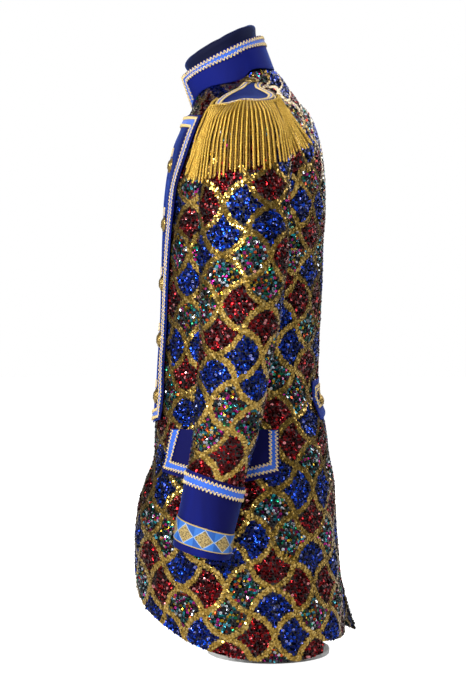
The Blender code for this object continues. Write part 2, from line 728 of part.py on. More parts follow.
def make_flap(side, mirror):
    grid = []
    for t in spread(0, 1, 4):
        row = []
        for share in spread(0, 1, 9):
            (ty, tz), (ly, lz) = flap_line(0, 0, share)
            y, z = ly + (ty - ly) * t, lz + (tz - lz) * t
            row.append((turn_at(y, z), z))
        grid.append(row)
    laid("flap_" + side, coat, grid, VELVET, BLUE_VELVET, ["coat_front_" + side], mirror=mirror)

    def line(side_inset, low_inset):
        points = []
        for share, order in ((0, (0.97, 0.5)), (1, (0.5, 0.97))):
            top, low = flap_line(side_inset, low_inset, share)
            points.append([(low[0] + (top[0] - low[0]) * t, low[1] + (top[1] - low[1]) * t) for t in order])
        points = points[0] + [flap_line(side_inset, low_inset, s)[1] for s in spread(0, 1, 9)] + points[1]
        return [(turn_at(y, z), z) for y, z in points]
    laid("flap_braid_" + side, coat, [line(0.0035, 0.0055), line(0.0135, 0.0155)], BRAID, BLUE_BRAID,
         ["flap_" + side], mirror=mirror, start=CLEAR["flap_" + side] + VELVET + GAP)


both(make_flap)

# Half belt across the back waist, a button and braid at each end

belt_low, belt_high, low_rise, high_rise, belt_end = BELT


def belt(turn, z):
    """The coat's back on both sides, with the belt's lower edge standing off a little."""
    mirror = turn > 180
    u = 360 - turn if mirror else turn
    p = lifted(coat, u, z, 0.005 * min(max((0.372 - z) / 0.03, 0), 1))
    return Vector((-p.x, p.y, p.z)) if mirror else p


def belt_place(share, level):
    """Share is 1 at the left end, 0 at the middle, -1 at the right end. Level is 0 below, 1 above."""
    low = belt_low + low_rise * (1 - abs(share))
    high = belt_high + high_rise * (1 - abs(share))
    return 180 - (180 - belt_end) * share, low + (high - low) * level


laid("half_belt", belt, [[belt_place(s, t) for s in spread(1, -1, 9)] for t in spread(0, 1, 4)], VELVET,
     BLUE_VELVET, ["coat_back_left", "coat_back_right", "coat_front_left", "coat_front_right"])


def make_belt_end(side, mirror):
    def frame(a, b, c, d):
        places = ((a, c), (a, (c + d) / 2), (a, d), ((a + b) / 2, d), (b, d), (b, (c + d) / 2), (b, c),
                  ((a + b) / 2, c))
        return [belt_place(share, level) for share, level in places]
    laid("belt_braid_" + side, belt, [frame(0.78, 0.48, 0.42, 0.72), frame(0.90, 0.36, 0.30, 0.84)], BRAID,
         BLUE_BRAID, ["half_belt"], True, mirror, start=CLEAR["half_belt"] + VELVET + GAP)
    turn, z = belt_place(0.63, 0.44)
    place, normal = facing(belt, turn, z, CLEAR["half_belt"] + VELVET)
    button("button_belt_" + side, place, normal, 0.0085, ["half_belt", "belt_braid_" + side], mirror)


both(make_belt_end)

# Epaulettes: a board that lies over the shoulder, its braid, a button and the fringe

under = [tree_of(name) for name in ("coat_front_left", "coat_back_left", "sleeve_left")]


def top_of_coat(x, y):
    hits = [tree.ray_cast(Vector((x, y, 1.2)), Vector((0, 0, -1)))[0] for tree in under]
    heights = [hit.z for hit in hits if hit]
    return max(heights) if heights else 0.0


neck, end = Vector(BOARD_NECK), Vector(BOARD_END)
out_way = (end - neck).normalized()
across = Vector((0, 1, BOARD_RISE)).normalized()
BOARD_ACROSS = 8
UP = Vector((0.25, 0, 1)).normalized()


def board_grid(places):
    """Points of the board's lower face: it rests on the shoulder and is pulled smooth."""
    points = [[neck + out_way * u + across * v for u, v in row] for row in places]
    floor = [[top_of_coat(p.x, p.y) + 0.0022 for p in row] for row in points]
    for row, limits in zip(points, floor):
        for p, limit in zip(row, limits):
            p.z = max(limit, p.z - 0.012)
    for _ in range(3):
        old = [[p.z for p in row] for row in points]
        for i, row in enumerate(points):
            for j, p in enumerate(row):
                near = [old[a][b] for a in (i - 1, i, i + 1) for b in (j - 1, j, j + 1)
                        if 0 <= a < len(old) and 0 <= b < len(row)]
                p.z = max(floor[i][j], sum(near) / len(near))
    return points


board = board_grid([[(u, half * s) for s in spread(-1, 1, BOARD_ACROSS + 1)] for u, half in BOARD])


def board_at(u, share, height):
    """A place on the board: distance out, share of the half width, height over its lower face."""
    k = max(i for i in range(len(BOARD) - 1) if BOARD[i][0] <= u)
    t = (u - BOARD[k][0]) / (BOARD[k + 1][0] - BOARD[k][0])
    column = (share + 1) / 2 * BOARD_ACROSS
    j = min(int(column), BOARD_ACROSS - 1)
    f = column - j
    low = board[k][j].lerp(board[k][j + 1], f)
    high = board[k + 1][j].lerp(board[k + 1][j + 1], f)
    return low.lerp(high, t) + UP * height


def edge_line(inset, first, count):
    """Places round the board's outer end, from its front side to its back side, and the way out there."""
    line = [(u, -1) for u, _ in BOARD if u >= first]
    line += [(BOARD[-1][0], s) for s in (-0.4, 0.4)]
    line += [(u, 1) for u, _ in reversed(BOARD) if u >= first]
    points = [board_at(u, s, 0) for u, s in line]
    total = [0.0]
    for a, b in zip(points, points[1:]):
        total.append(total[-1] + (b - a).length)
    out = []
    for want in spread(0, total[-1], count):
        k = min(max(i for i in range(len(total)) if total[i] <= want + 1e-9), len(points) - 2)
        t = (want - total[k]) / max(total[k + 1] - total[k], 1e-9)
        out.append(points[k].lerp(points[k + 1], t))
    heart = board_at(0.066, 0, 0)
    shifted = []
    for p in out:
        way = p - heart
        way.z = 0
        way.normalize()
        shifted.append((p - way * inset, way))
    return shifted


def make_board(side, mirror):
    shell("epaulette_" + side, board, [[p + UP * BOARD_THICK for p in row] for row in board], BLUE_VELVET,
          mirror=mirror)
    outer, inner = [], []
    for u, half in BOARD[1:]:
        outer.append((u, -(1 - 0.0008 / half)))
        inner.append((min(u, 0.1165), -(1 - 0.0085 / half)))
    outer += [(u, -s) for u, s in reversed(outer)]
    inner += [(u, -s) for u, s in reversed(inner)]
    low, high = BOARD_THICK + 0.0028, BOARD_THICK + 0.0028 + BRAID
    shell("epaulette_braid_" + side, [[board_at(u, s, low) for u, s in line] for line in (inner, outer)],
          [[board_at(u, s, high) for u, s in line] for line in (inner, outer)], BLUE_BRAID, mirror=mirror)
    button("button_epaulette_" + side, board_at(0.022, 0, BOARD_THICK), UP, 0.0100,
           ["epaulette_" + side, "epaulette_braid_" + side], mirror)


both(make_board)


def push(p, way):
    """How far out a strand has to move, level, to be clear of the coat and sleeve."""
    far = [0.0]
    side_way = way.cross(Vector((0, 0, 1))) * 0.0017
    for tree in under:
        for start in (p - side_way, p, p + side_way):
            hit = tree.ray_cast(start + way * 0.20, -way, 0.20)[0]
            if hit:
                far.append((hit - p).dot(way) + STRAND_CLEAR)
    return max(far)


def spare(p):
    """The move that keeps a strand's middle line off the nearest cloth."""
    move = Vector((0, 0, 0))
    for tree in under:
        near, _, _, gap = tree.find_nearest(p)
        if gap < STRAND_OFF:
            move += (p - near).normalized() * (STRAND_OFF - gap)
    return move


def strand_path(p, way, number):
    """Middle points of a strand, from its root down: it leans out and falls over the sleeve."""
    uneven = 1 + 0.035 * sin(number * 2.4) + 0.02 * sin(number * 5.1)
    long = smooth(STRAND_LENGTH, p.y, 1)
    lean = radians(7 + (30 if way.y > 0 else 16) * way.y * way.y)
    points = [p + way * 0.004]
    for fall in (0.14, 0.48, 1.0):
        q = p + way * (0.004 + sin(lean) * long * fall)
        q.z = p.z - cos(lean) * long * uneven * fall
        points.append(q)
    halves = [push((a + b) / 2, way) for a, b in zip(points, points[1:])] + [0.0]
    moved = [q + way * max(push(q, way), halves[k], halves[k + 1]) for k, q in enumerate(points[1:])]
    for _ in range(3):
        for k in (0, 1):
            middle_point = (moved[k] + moved[k + 1]) / 2
            shift = spare(middle_point)
            moved[k], moved[k + 1] = moved[k] + shift, moved[k + 1] + shift
        moved = [q + spare(q) for q in moved]
    return moved


def make_fringe(side, mirror):
    line = edge_line(-0.0030, 0.070, STRANDS + 1)
    bm = bmesh.new()
    ring = []
    for p, way in line:
        seat = p.copy()
        seat.z = max(top_of_coat(seat.x + way.x * d, seat.y + way.y * d) for d in (-BAND_IN, 0, 0.002, 0.004))
        seat.z = max(seat.z + 0.0005, p.z - 0.0018)
        back = seat - way * BAND_IN
        corners = (back + Vector((0, 0, 0.0034)), seat + way * 0.0040 + Vector((0, 0, 0.0028)),
                   seat + way * 0.0040, back)
        ring.append([bm.verts.new(c) for c in corners])
    faces = []
    for a, b in zip(ring, ring[1:]):
        bm.faces.new((a[0], b[0], b[1], a[1]))
        faces.append(bm.faces.new((a[1], b[1], b[2], a[2])))
        bm.faces.new((a[2], b[2], b[3], a[3]))
        bm.faces.new((a[3], b[3], b[0], a[0]))
    bm.faces.new(ring[0])
    bm.faces.new(list(reversed(ring[-1])))
    bmesh.ops.recalc_face_normals(bm, faces=bm.faces)
    bmesh.ops.inset_individual(bm, faces=faces, thickness=0.0007)
    for level in range(3):
        faces = bmesh.ops.extrude_discrete_faces(bm, faces=faces)["faces"]
        for i, face in enumerate(faces):
            p, way = line[i]
            target = strand_path((p + line[i + 1][0]) / 2, (way + line[i + 1][1]).normalized(), i)[level]
            side_way = way.cross(Vector((0, 0, 1)))
            centre = face.calc_center_median()
            for vert in face.verts:
                offset = vert.co - centre
                right = STRAND / 2 if offset.dot(side_way) > 0 else -STRAND / 2
                up = -offset.z if level == 0 else -offset.dot(way)
                ahead = STRAND / 2 if up > 0 else -STRAND / 2
                vert.co = target + side_way * right - way * ahead
    if mirror:
        for vert in bm.verts:
            vert.co.x = -vert.co.x
        bmesh.ops.reverse_faces(bm, faces=bm.faces)
    finish("fringe_" + side, bm, GOLD_CORD, recalc=False)


both(make_fringe)


# Dress form: torso and neck in one, on a turned stand

cloth = [tree_of(name) for name in ("coat_front_left", "coat_back_left")]


def inside(p, heart, clear):
    """Keeps a point of the form inside the coat."""
    way = (p - heart)
    reach = way.length
    way.normalize()
    for tree in cloth:
        hit = tree.ray_cast(heart, way, 0.4)[0]
        if hit:
            reach = min(reach, (hit - heart).length - clear)
    return heart + way * reach


def form_ring(side_z, rise, inset):
    ring = []
    heart = Vector((0, 0.020, side_z))
    for k in range(FORM_SIDES):
        turn = 360 * k / FORM_SIDES
        u = turn if turn <= 180 else 360 - turn
        p = coat(u, side_z - rise * cos(radians(turn)))
        ahead = Vector((p.x, p.y - heart.y, 0)).normalized()
        thin = inset + 0.010 * abs(cos(radians(turn)))
        p = inside(p - ahead * thin, Vector((0, heart.y, p.z)), FORM_CLEAR)
        ring.append(p if turn <= 180 else Vector((-p.x, p.y, p.z)))
    return ring


def neck_ring(y, z, deep, wide, slope):
    ring = []
    for k in range(FORM_SIDES):
        a = 2 * pi * k / FORM_SIDES
        dy = -deep * cos(a)
        ring.append(Vector((wide * sin(a), y + dy, z + dy * slope)))
    return ring


rings = [form_ring(*row) for row in FORM] + [neck_ring(*row) for row in NECK]
bm = bmesh.new()
made = [[bm.verts.new(p) for p in ring] for ring in rings]
for low, high in zip(made, made[1:]):
    for k in range(FORM_SIDES):
        n = (k + 1) % FORM_SIDES
        bm.faces.new((low[k], low[n], high[n], high[k]))
bm.faces.new(list(reversed(made[0])))
bm.faces.new(made[-1])
# Where a face of the form still meets the coarser coat, its corners go in a little, both sides alike.
cloth += [tree_of("coat_front_right"), tree_of("coat_back_right")]
order = {vert: (i, k) for i, ring in enumerate(made) for k, vert in enumerate(ring)}
bm.faces.ensure_lookup_table()
for _ in range(20):
    tree = BVHTree.FromBMesh(bm)
    met = {pair[0] for other in cloth for pair in tree.overlap(other)}
    if not met:
        break
    bm.faces.ensure_lookup_table()
    places = {order[vert] for index in met for vert in bm.faces[index].verts}
    places |= {(i, (FORM_SIDES - k) % FORM_SIDES) for i, k in places}
    for i, k in places:
        co = made[i][k].co
        co += (Vector((0, 0.02, co.z - 0.02)) - co).normalized() * 0.0004
finish("form_torso", bm, FORM_VELVET)


def turned_piece(name, profile, y, oval, sides):
    bm = bmesh.new()
    points = [bm.verts.new((r, 0, z)) for r, z in profile]
    for a, b in zip(points, points[1:]):
        bm.edges.new((a, b))
    bmesh.ops.spin(bm, geom=bm.verts[:] + bm.edges[:], cent=(0, 0, 0), axis=(0, 0, 1), angle=2 * pi,
                   steps=sides, use_merge=True)
    bmesh.ops.remove_doubles(bm, verts=bm.verts[:], dist=0.00005)
    bmesh.ops.scale(bm, vec=(oval[0], oval[1], 1), verts=bm.verts[:])
    item = finish(name, bm, STAND_PAINT)
    item.location = (0, y, 0)


turned_piece("form_column", COLUMN, COLUMN_Y, (1, 1), 20)
turned_piece("form_base", BASE, BASE_Y, BASE_OVAL, 32)
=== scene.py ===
"""A knee-length sequin coat on a limbless dress form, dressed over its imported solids.

Metres, +Z up. The coat's front faces -Y and the wearer's left is +X.
"""
import bpy
import bmesh
import numpy as np
from math import pi, sin, cos, atan2, sqrt, radians, degrees, exp
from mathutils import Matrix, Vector
from mathutils.bvhtree import BVHTree


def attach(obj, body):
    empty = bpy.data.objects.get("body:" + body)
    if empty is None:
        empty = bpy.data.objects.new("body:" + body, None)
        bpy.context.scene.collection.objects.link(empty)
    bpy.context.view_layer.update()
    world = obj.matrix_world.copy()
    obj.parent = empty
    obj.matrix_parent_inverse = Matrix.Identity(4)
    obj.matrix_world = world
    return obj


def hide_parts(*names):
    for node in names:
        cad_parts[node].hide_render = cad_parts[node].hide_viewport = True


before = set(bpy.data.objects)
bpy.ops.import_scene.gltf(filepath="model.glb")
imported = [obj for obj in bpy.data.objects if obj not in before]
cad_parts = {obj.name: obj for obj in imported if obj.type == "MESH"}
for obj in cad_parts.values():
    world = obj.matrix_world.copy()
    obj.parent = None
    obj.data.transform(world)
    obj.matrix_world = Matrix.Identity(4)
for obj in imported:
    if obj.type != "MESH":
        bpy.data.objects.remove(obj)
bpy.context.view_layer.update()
bpy.ops.object.select_all(action="DESELECT")

# The camera stands level at the wearer's left, 3 m from the coat's middle.
MIDDLE_Y = -0.0200      # the coat's tables are measured from a line 20 mm behind the stand's centre
bpy.ops.object.camera_add(location=(3.0, MIDDLE_Y, 0.443), rotation=(radians(90), 0, radians(90)))
camera = bpy.context.object
camera.data.sensor_width = 36
camera.data.lens = 104.76
bpy.context.scene.camera = camera

# The studio: a pale round floor, white ground behind, and five soft lamps. A small one near the photo's side
# makes the sequins glint, and the large far ones keep the other sides from going dark.
bpy.ops.mesh.primitive_circle_add(vertices=96, radius=30, fill_type="NGON", location=(0, 0, -0.0005))
floor = bpy.context.object
floor.name = "studio_floor"
paper = bpy.data.materials.new("white_paper")
paper.use_nodes = True
shader = paper.node_tree.nodes["Principled BSDF"]
shader.inputs["Base Color"].default_value = (0.75, 0.75, 0.75, 1)
shader.inputs["Roughness"].default_value = 0.9
shader.inputs["Emission Color"].default_value = (1, 1, 1, 1)
ray = paper.node_tree.nodes.new("ShaderNodeLightPath")
paper.node_tree.links.new(ray.outputs["Is Camera Ray"], shader.inputs["Emission Strength"])
floor.data.materials.append(paper)

world = bpy.data.worlds.new("studio")
bpy.context.scene.world = world
world.use_nodes = True
sky = world.node_tree
spot = sky.nodes.new("ShaderNodeTexCoord")
split = sky.nodes.new("ShaderNodeSeparateXYZ")
ramp = sky.nodes.new("ShaderNodeValToRGB")
ramp.color_ramp.elements[0].position = 0.10
ramp.color_ramp.elements[0].color = (0.16, 0.16, 0.16, 1)
ramp.color_ramp.elements[1].position = 0.45
ramp.color_ramp.elements[1].color = (0.05, 0.05, 0.055, 1)
shown = sky.nodes.new("ShaderNodeMix")
shown.data_type = "RGBA"
ray = sky.nodes.new("ShaderNodeLightPath")
shown.inputs["B"].default_value = (1, 1, 1, 1)
sky.links.new(ray.outputs["Is Camera Ray"], shown.inputs["Factor"])
sky.links.new(spot.outputs["Generated"], split.inputs[0])
sky.links.new(split.outputs["Z"], ramp.inputs[0])
sky.links.new(ramp.outputs[0], shown.inputs["A"])
sky.links.new(shown.outputs["Result"], sky.nodes["Background"].inputs["Color"])
sky.nodes["Background"].inputs["Strength"].default_value = 1.0

for name, place, target, size, watts in (
        ("lamp_side", (2.6, -0.9, 2.3), (0, 0, 0.55), 0.9, 80),
        ("lamp_camera", (3.1, -0.45, 0.95), (0, 0, 0.5), 0.35, 26),
        ("lamp_front", (1.3, -2.8, 1.5), (0, 0, 0.5), 0.8, 60),
        ("lamp_back", (-0.9, 2.9, 2.1), (0, 0, 0.5), 2.2, 50),
        ("lamp_far", (-2.7, 0.4, 2.0), (0, 0, 0.5), 2.6, 55)):
    bpy.ops.object.light_add(type="AREA", location=place)
    lamp = bpy.context.object
    lamp.name = name
    lamp.data.size = size
    lamp.data.energy = watts
    lamp.rotation_euler = (Vector(target) - Vector(place)).to_track_quat("-Z", "Y").to_euler()
bpy.context.scene.view_settings.view_transform = "Standard"

# Coat fronts and backs: each is one panel of black net, sewn all over with sequins. Gold ones make a net of
# waved bands, and the cells between are blue, red or mixed colours. The fronts cross the side to a seam
# behind the arm, and the backs part at the centre vent.
COAT = (    # height, back, front, side line, half width, power of the section's curve
    (0.870, 0.050, -0.045, 0.004, 0.060, 1.8),
    (0.853, 0.0616, -0.050, 0.016, 0.056, 1.8),
    (0.838, 0.074, -0.052, 0.028, 0.060, 1.75),
    (0.830, 0.079, -0.053, 0.030, 0.066, 1.75),
    (0.821, 0.085, -0.054, 0.029, 0.092, 1.75),
    (0.811, 0.092, -0.056, 0.027, 0.128, 1.75),
    (0.798, 0.102, -0.058, 0.024, 0.163, 1.8),
    (0.786, 0.112, -0.063, 0.020, 0.187, 1.9),
    (0.775, 0.117, -0.069, 0.018, 0.196, 2.0),
    (0.762, 0.121, -0.073, 0.017, 0.1995, 2.2),
    (0.737, 0.128, -0.0832, 0.016, 0.200, 2.35),
    (0.700, 0.1325, -0.0918, 0.015, 0.194, 2.45),
    (0.675, 0.134, -0.0953, 0.015, 0.182, 2.5),
    (0.655, 0.134, -0.0973, 0.015, 0.172, 2.5),
    (0.640, 0.134, -0.0978, 0.015, 0.167, 2.5),
    (0.600, 0.131, -0.0998, 0.015, 0.162, 2.45),
    (0.550, 0.130, -0.1013, 0.013, 0.156, 2.4),
    (0.490, 0.127, -0.1028, 0.012, 0.151, 2.4),
    (0.430, 0.1245, -0.1065, 0.010, 0.148, 2.4),
    (0.395, 0.1235, -0.1085, 0.010, 0.148, 2.4),
    (0.360, 0.128, -0.1115, 0.010, 0.150, 2.4),
    (0.335, 0.134, -0.1130, 0.010, 0.154, 2.4),
    (0.290, 0.140, -0.1140, 0.010, 0.159, 2.4),
    (0.250, 0.147, -0.1285, 0.008, 0.166, 2.4),
    (0.217, 0.149, -0.1380, 0.006, 0.172, 2.4),
    (0.170, 0.152, -0.1425, 0.005, 0.180, 2.4),
    (0.120, 0.156, -0.1420, 0.006, 0.185, 2.4),
    (0.070, 0.161, -0.1390, 0.008, 0.189, 2.4),
    (0.000, 0.164, -0.1350, 0.010, 0.192, 2.4),
)
# The seam behind the arm, the fronts' cut-away hem and how far they part below the bib.
SIDE_SEAM = ((0.655, 0.020), (0.600, 0.035), (0.500, 0.062), (0.403, 0.094), (0.340, 0.112),
             (0.250, 0.118), (0.150, 0.122), (0.020, 0.126))
CUTAWAY = ((-0.1425, 0.160), (-0.141, 0.122), (-0.135, 0.101), (-0.125, 0.080), (-0.112, 0.066),
           (-0.096, 0.055), (-0.076, 0.044), (-0.048, 0.033), (-0.016, 0.023), (0.020, 0.015),
           (0.058, 0.011), (0.099, 0.012), (0.126, 0.018))
FRONT_PARTS = ((0.340, 0.0006), (0.300, 0.010), (0.250, 0.020), (0.200, 0.030), (0.160, 0.036))
HEM_BACK, HEM_SIDE = 0.031, 0.034
VENT_FLICK = 0.0145     # how far the right back's corner swings out
ARMPIT, SHOULDER = 0.655, 0.786         # the armhole's lowest and highest places
ARMHOLE_Y, ARMHOLE_HALF = 0.018, 0.060
NECK_Y, NECK_DEEP, NECK_WIDE = 0.001, 0.060, 0.0625
NECK_SHARE = 0.36       # of a panel's top row that lies along the neck
NECK_COLUMNS = (6, 3)   # its columns on a front and on a back
FLUTES = (              # soft upright folds of the skirt: turn, height out, half width in degrees
    (22, 0.0040, 10), (52, -0.0035, 12), (78, 0.0045, 11), (104, -0.0030, 10), (150, 0.0040, 9),
)
CREASES = (     # height, place round the half coat, depth, spread, half length in degrees
    (0.470, 60, -0.0022, 0.020, 26), (0.430, 95, -0.0024, 0.017, 26), (0.515, 110, -0.0020, 0.022, 26),
    (0.620, 70, -0.0022, 0.018, 26), (0.395, 128, -0.0018, 0.010, 18), (0.372, 150, -0.0014, 0.008, 22),
    (0.560, 140, -0.0016, 0.014, 20), (0.450, 150, -0.0016, 0.011, 24), (0.700, 132, -0.0018, 0.016, 16),
)
# Heights of the straight rows, and the numbers of rows below them and above.
LEVELS = (0.28, 0.315, 0.35, 0.385, 0.42, 0.455, 0.49, 0.53, 0.575, 0.62)
LOW_ROWS, TOP_ROWS = 8, 9


def smooth(rows, at, column):
    """Read a column of a table at a height or place, with a smooth curve through the rows."""
    rows = sorted(rows)
    at = min(max(at, rows[0][0]), rows[-1][0])
    k = max(i for i in range(len(rows) - 1) if rows[i][0] <= at)
    h = rows[k + 1][0] - rows[k][0]
    y0, y1 = rows[k][column], rows[k + 1][column]
    step = (y1 - y0) / h

    def slope(i):
        if i == 0 or i == len(rows) - 1:
            return step
        before = (rows[i][column] - rows[i - 1][column]) / (rows[i][0] - rows[i - 1][0])
        after = (rows[i + 1][column] - rows[i][column]) / (rows[i + 1][0] - rows[i][0])
        return 0.0 if before * after <= 0 else 2 * before * after / (before + after)

    t = (at - rows[k][0]) / h
    return ((1 + 2 * t) * (1 - t) ** 2 * y0 + t * (1 - t) ** 2 * h * slope(k)
            + t * t * (3 - 2 * t) * y1 + t * t * (t - 1) * h * slope(k + 1))


def bent(value, power):
    """A sine or cosine bent towards a squarer oval."""
    return (abs(value) ** (2 / power)) * (1 if value >= 0 else -1)


def section(z):
    """The coat's level section: back, front and side line Y, half width and power."""
    return [smooth(COAT, z, c) for c in range(1, 6)]


def coat(turn, z):
    """The coat's outer face: turn is 0 at the centre front, 90 at the left side, 180 at the back."""
    back, front, side, half, power = section(z)
    a = radians(turn)
    deep = (side - front) if cos(a) > 0 else (back - side)
    x, y = half * bent(sin(a), power), side - deep * bent(cos(a), power)
    fold = 0.0
    fall = min(max((0.31 - z) / 0.25, 0), 1)
    for place, depth, spread_ in FLUTES:
        fold += fall * depth * exp(-((turn - place) / spread_) ** 2)
    for height, place, depth, spread_, reach in CREASES:
        along = (turn - place) / reach
        fold += depth * exp(-((z - height - 0.012 * along) / spread_) ** 2 - along * along)
    return Vector((x + fold * sin(a), y - fold * cos(a), z))


def lifted(surface, u, v, out, eu=0.5, ev=0.0015):
    """A place on a surface, moved out along its normal."""
    du = (surface(u + eu, v) - surface(u - eu, v)).normalized()
    dv = surface(u, v + ev) - surface(u, v - ev)
    return surface(u, v) + du.cross(dv).normalized() * out


def turn_at(y, z):
    """The turn at which the coat passes a Y, on its left side."""
    back, front, side, half, power = section(z)
    share = (side - y) / ((side - front) if y < side else (back - side))
    c = bent(max(-1, min(1, share)), 4 / power)
    return degrees(atan2(sqrt(max(0, 1 - c * c)), c))


def turn_at_x(x, z):
    """The turn at which the coat's front passes an X."""
    back, front, side, half, power = section(z)
    s = min(1, x / half) ** (power / 2)
    return degrees(atan2(s, sqrt(max(0, 1 - s * s))))


def height_at(x, y):
    """The coat's height over a place in plan, near the neck and shoulder."""
    low, high = 0.70, 0.869
    for _ in range(30):
        z = (low + high) / 2
        back, front, side, half, power = section(z)
        deep = (side - front) if y < side else (back - side)
        if abs(x / half) ** power + abs((y - side) / deep) ** power > 1:
            high = z
        else:
            low = z
    return (low + high) / 2


def spread(first, last, count):
    """Even steps from a first value to a last one."""
    return [first + (last - first) * i / (count - 1) for i in range(count)]


def neck_edge(phi):
    """The neck seam: phi is 0 at the front and 180 at the back. Gives turn and height."""
    x = (NECK_WIDE + 0.0012) * sin(radians(phi))
    y = NECK_Y - (NECK_DEEP + 0.0012) * cos(radians(phi))
    z = height_at(x, y)
    back, front, side, half, power = section(z)
    deep = (side - front) if y < side else (back - side)
    across = (abs(x) / half) ** (power / 2)
    return degrees(atan2(across, bent((side - y) / deep, 4 / power))), z


def neck_meets_shoulder():
    """Where the shoulder's ridge runs into the neck seam, as phi."""
    low, high = 60.0, 170.0
    for _ in range(30):
        phi = (low + high) / 2
        if neck_edge(phi)[0] < 90:
            low = phi
        else:
            high = phi
    return low


def armhole(share, front):
    """The armhole from the armpit (0) to the shoulder (1), along its front or its back."""
    a = pi * share
    z = (ARMPIT + SHOULDER) / 2 - (SHOULDER - ARMPIT) / 2 * cos(a)
    end = seam_turn(ARMPIT)
    y = ARMHOLE_Y + ARMHOLE_HALF * sin(a) * (-1 if front else 1)
    edge = end + (90 - end) * share
    blend = sin(a) ** 0.5 if 0 < share < 1 else 0
    return edge + (turn_at(y, z) - edge) * blend, z


def seam_turn(z):
    """Where the seam behind the arm is at a height."""
    return turn_at(smooth(SIDE_SEAM, z, 1), z)


def shares(front):
    """A row's places, as shares from the middle edge to the armhole: close together beside the neck."""
    neck = NECK_COLUMNS[0 if front else 1]
    return [NECK_SHARE * i / neck for i in range(neck)] + spread(NECK_SHARE, 1, 7)


def upper(front, rows):
    """Places of a panel above the armpit, inside four edges: middle, armhole, armpit row and top."""
    centre = 0 if front else 180
    seam = seam_turn(ARMPIT)
    neck_low = neck_edge(centre)[1]
    meets = neck_meets_shoulder()
    ridge_low = neck_edge(meets)[1]

    def top(s):
        if s <= NECK_SHARE:
            share = s / NECK_SHARE
            turn, z = neck_edge(centre + (meets - centre) * share)
            return (centre if s == 0 else 90 if share == 1 else turn), z
        share = (s - NECK_SHARE) / (1 - NECK_SHARE)
        return 90, ridge_low + (SHOULDER - ridge_low) * share ** 0.8

    corners = ((centre, ARMPIT), (seam, ARMPIT), top(0), top(1))
    out = []
    for t in spread(0, 1, rows + 1):
        row = []
        for s in shares(front):
            b, u = (centre + (seam - centre) * s, ARMPIT), top(s)
            l, r = (centre, ARMPIT + (neck_low - ARMPIT) * t), armhole(t, front)
            row.append(tuple((1 - t) * b[k] + t * u[k] + (1 - s) * l[k] + s * r[k]
                             - (1 - s) * (1 - t) * corners[0][k] - s * (1 - t) * corners[1][k]
                             - (1 - s) * t * corners[2][k] - s * t * corners[3][k] for k in (0, 1)))
        out.append(row)
    return out


def front_places():
    """Places of a front, in rows from the hem up: the hem follows the cutaway, and the sides are straight."""
    rows = []
    for t in spread(0, 1, LOW_ROWS + 1)[:-1]:
        row = []
        for s in shares(True):
            y = CUTAWAY[0][0] + (CUTAWAY[-1][0] - CUTAWAY[0][0]) * (1 - cos(pi * s)) / 2
            hem = smooth(CUTAWAY, y, 1)
            z = hem + (LEVELS[0] - hem) * t
            start = turn_at_x(smooth(FRONT_PARTS, z, 1), z)
            even = start + (seam_turn(z) - start) * s
            row.append((even if s in (0, 1) else turn_at(y, z) * (1 - t) + even * t, z))
        rows.append(row)
    for z in LEVELS:
        start = turn_at_x(smooth(FRONT_PARTS, z, 1), z) if z < FRONT_PARTS[0][0] else 0
        rows.append([(start + (seam_turn(z) - start) * s, z) for s in shares(True)])
    return rows + upper(True, TOP_ROWS)


def back_places():
    """Places of a back, in rows from the hem up."""
    rows = []
    for t in spread(0, 1, LOW_ROWS + 1)[:-1]:
        hems = [(s, HEM_BACK + (HEM_SIDE - HEM_BACK) * s) for s in shares(False)]
        rows.append([(s, hem + (LEVELS[0] - hem) * t) for s, hem in hems])
    rows += [[(s, z) for s in shares(False)] for z in LEVELS]
    return [[(180 + (seam_turn(z) - 180) * s, z) for s, z in row] for row in rows] + upper(False, TOP_ROWS)


def flicked(turn, z):
    """The right back's corner at the vent swings out behind the hem."""
    share = max(turn - 164, 0) / 16 * min(max((0.125 - z) / 0.08, 0), 1.2) ** 1.6
    return coat(turn, z) + Vector((0.3, 1, 0)) * (VENT_FLICK * share)


def finer(places, times):
    """A grid of places with more rows and columns between its own."""
    grid = np.array(places, float)
    for axis in (0, 1):
        parts = [np.take(grid, range(grid.shape[axis] - 1), axis) * (1 - k / times)
                 + np.take(grid, range(1, grid.shape[axis]), axis) * (k / times) for k in range(times)]
        joined = np.stack(parts, axis + 1)
        shape = list(grid.shape)
        shape[axis] = (grid.shape[axis] - 1) * times
        joined = joined.reshape(shape)
        grid = np.concatenate((joined, np.take(grid, [grid.shape[axis] - 1], axis)), axis)
    return grid


def points_of(surface, places):
    """A grid of points from a grid of places on a surface."""
    return np.array([[tuple(surface(u, v)) for u, v in row] for row in places])


def normals_of(points):
    """The ways out of a grid of points."""
    across = np.gradient(points, axis=1)
    up = np.gradient(points, axis=0)
    normal = np.cross(across, up)
    return normal / np.maximum(np.linalg.norm(normal, axis=2, keepdims=True), 1e-12)


def linked(name, mesh):
    """An object of a mesh, in the scene."""
    piece = bpy.data.objects.new(name, mesh)
    bpy.context.scene.collection.objects.link(piece)
    return piece


def mesh_piece(name, verts, faces, material, mirror=False):
    """An object from points in the coat's tables, which lie MIDDLE_Y behind the world's own."""
    verts = np.asarray(verts, float).reshape(-1, 3).copy()
    faces = [tuple(reversed(face)) for face in faces] if mirror else faces
    if mirror:
        verts[:, 0] *= -1
    verts[:, 1] += MIDDLE_Y
    mesh = bpy.data.meshes.new(name)
    mesh.from_pydata(verts.tolist(), [], faces)
    mesh.materials.append(material)
    mesh.shade_smooth()
    return linked(name, mesh)


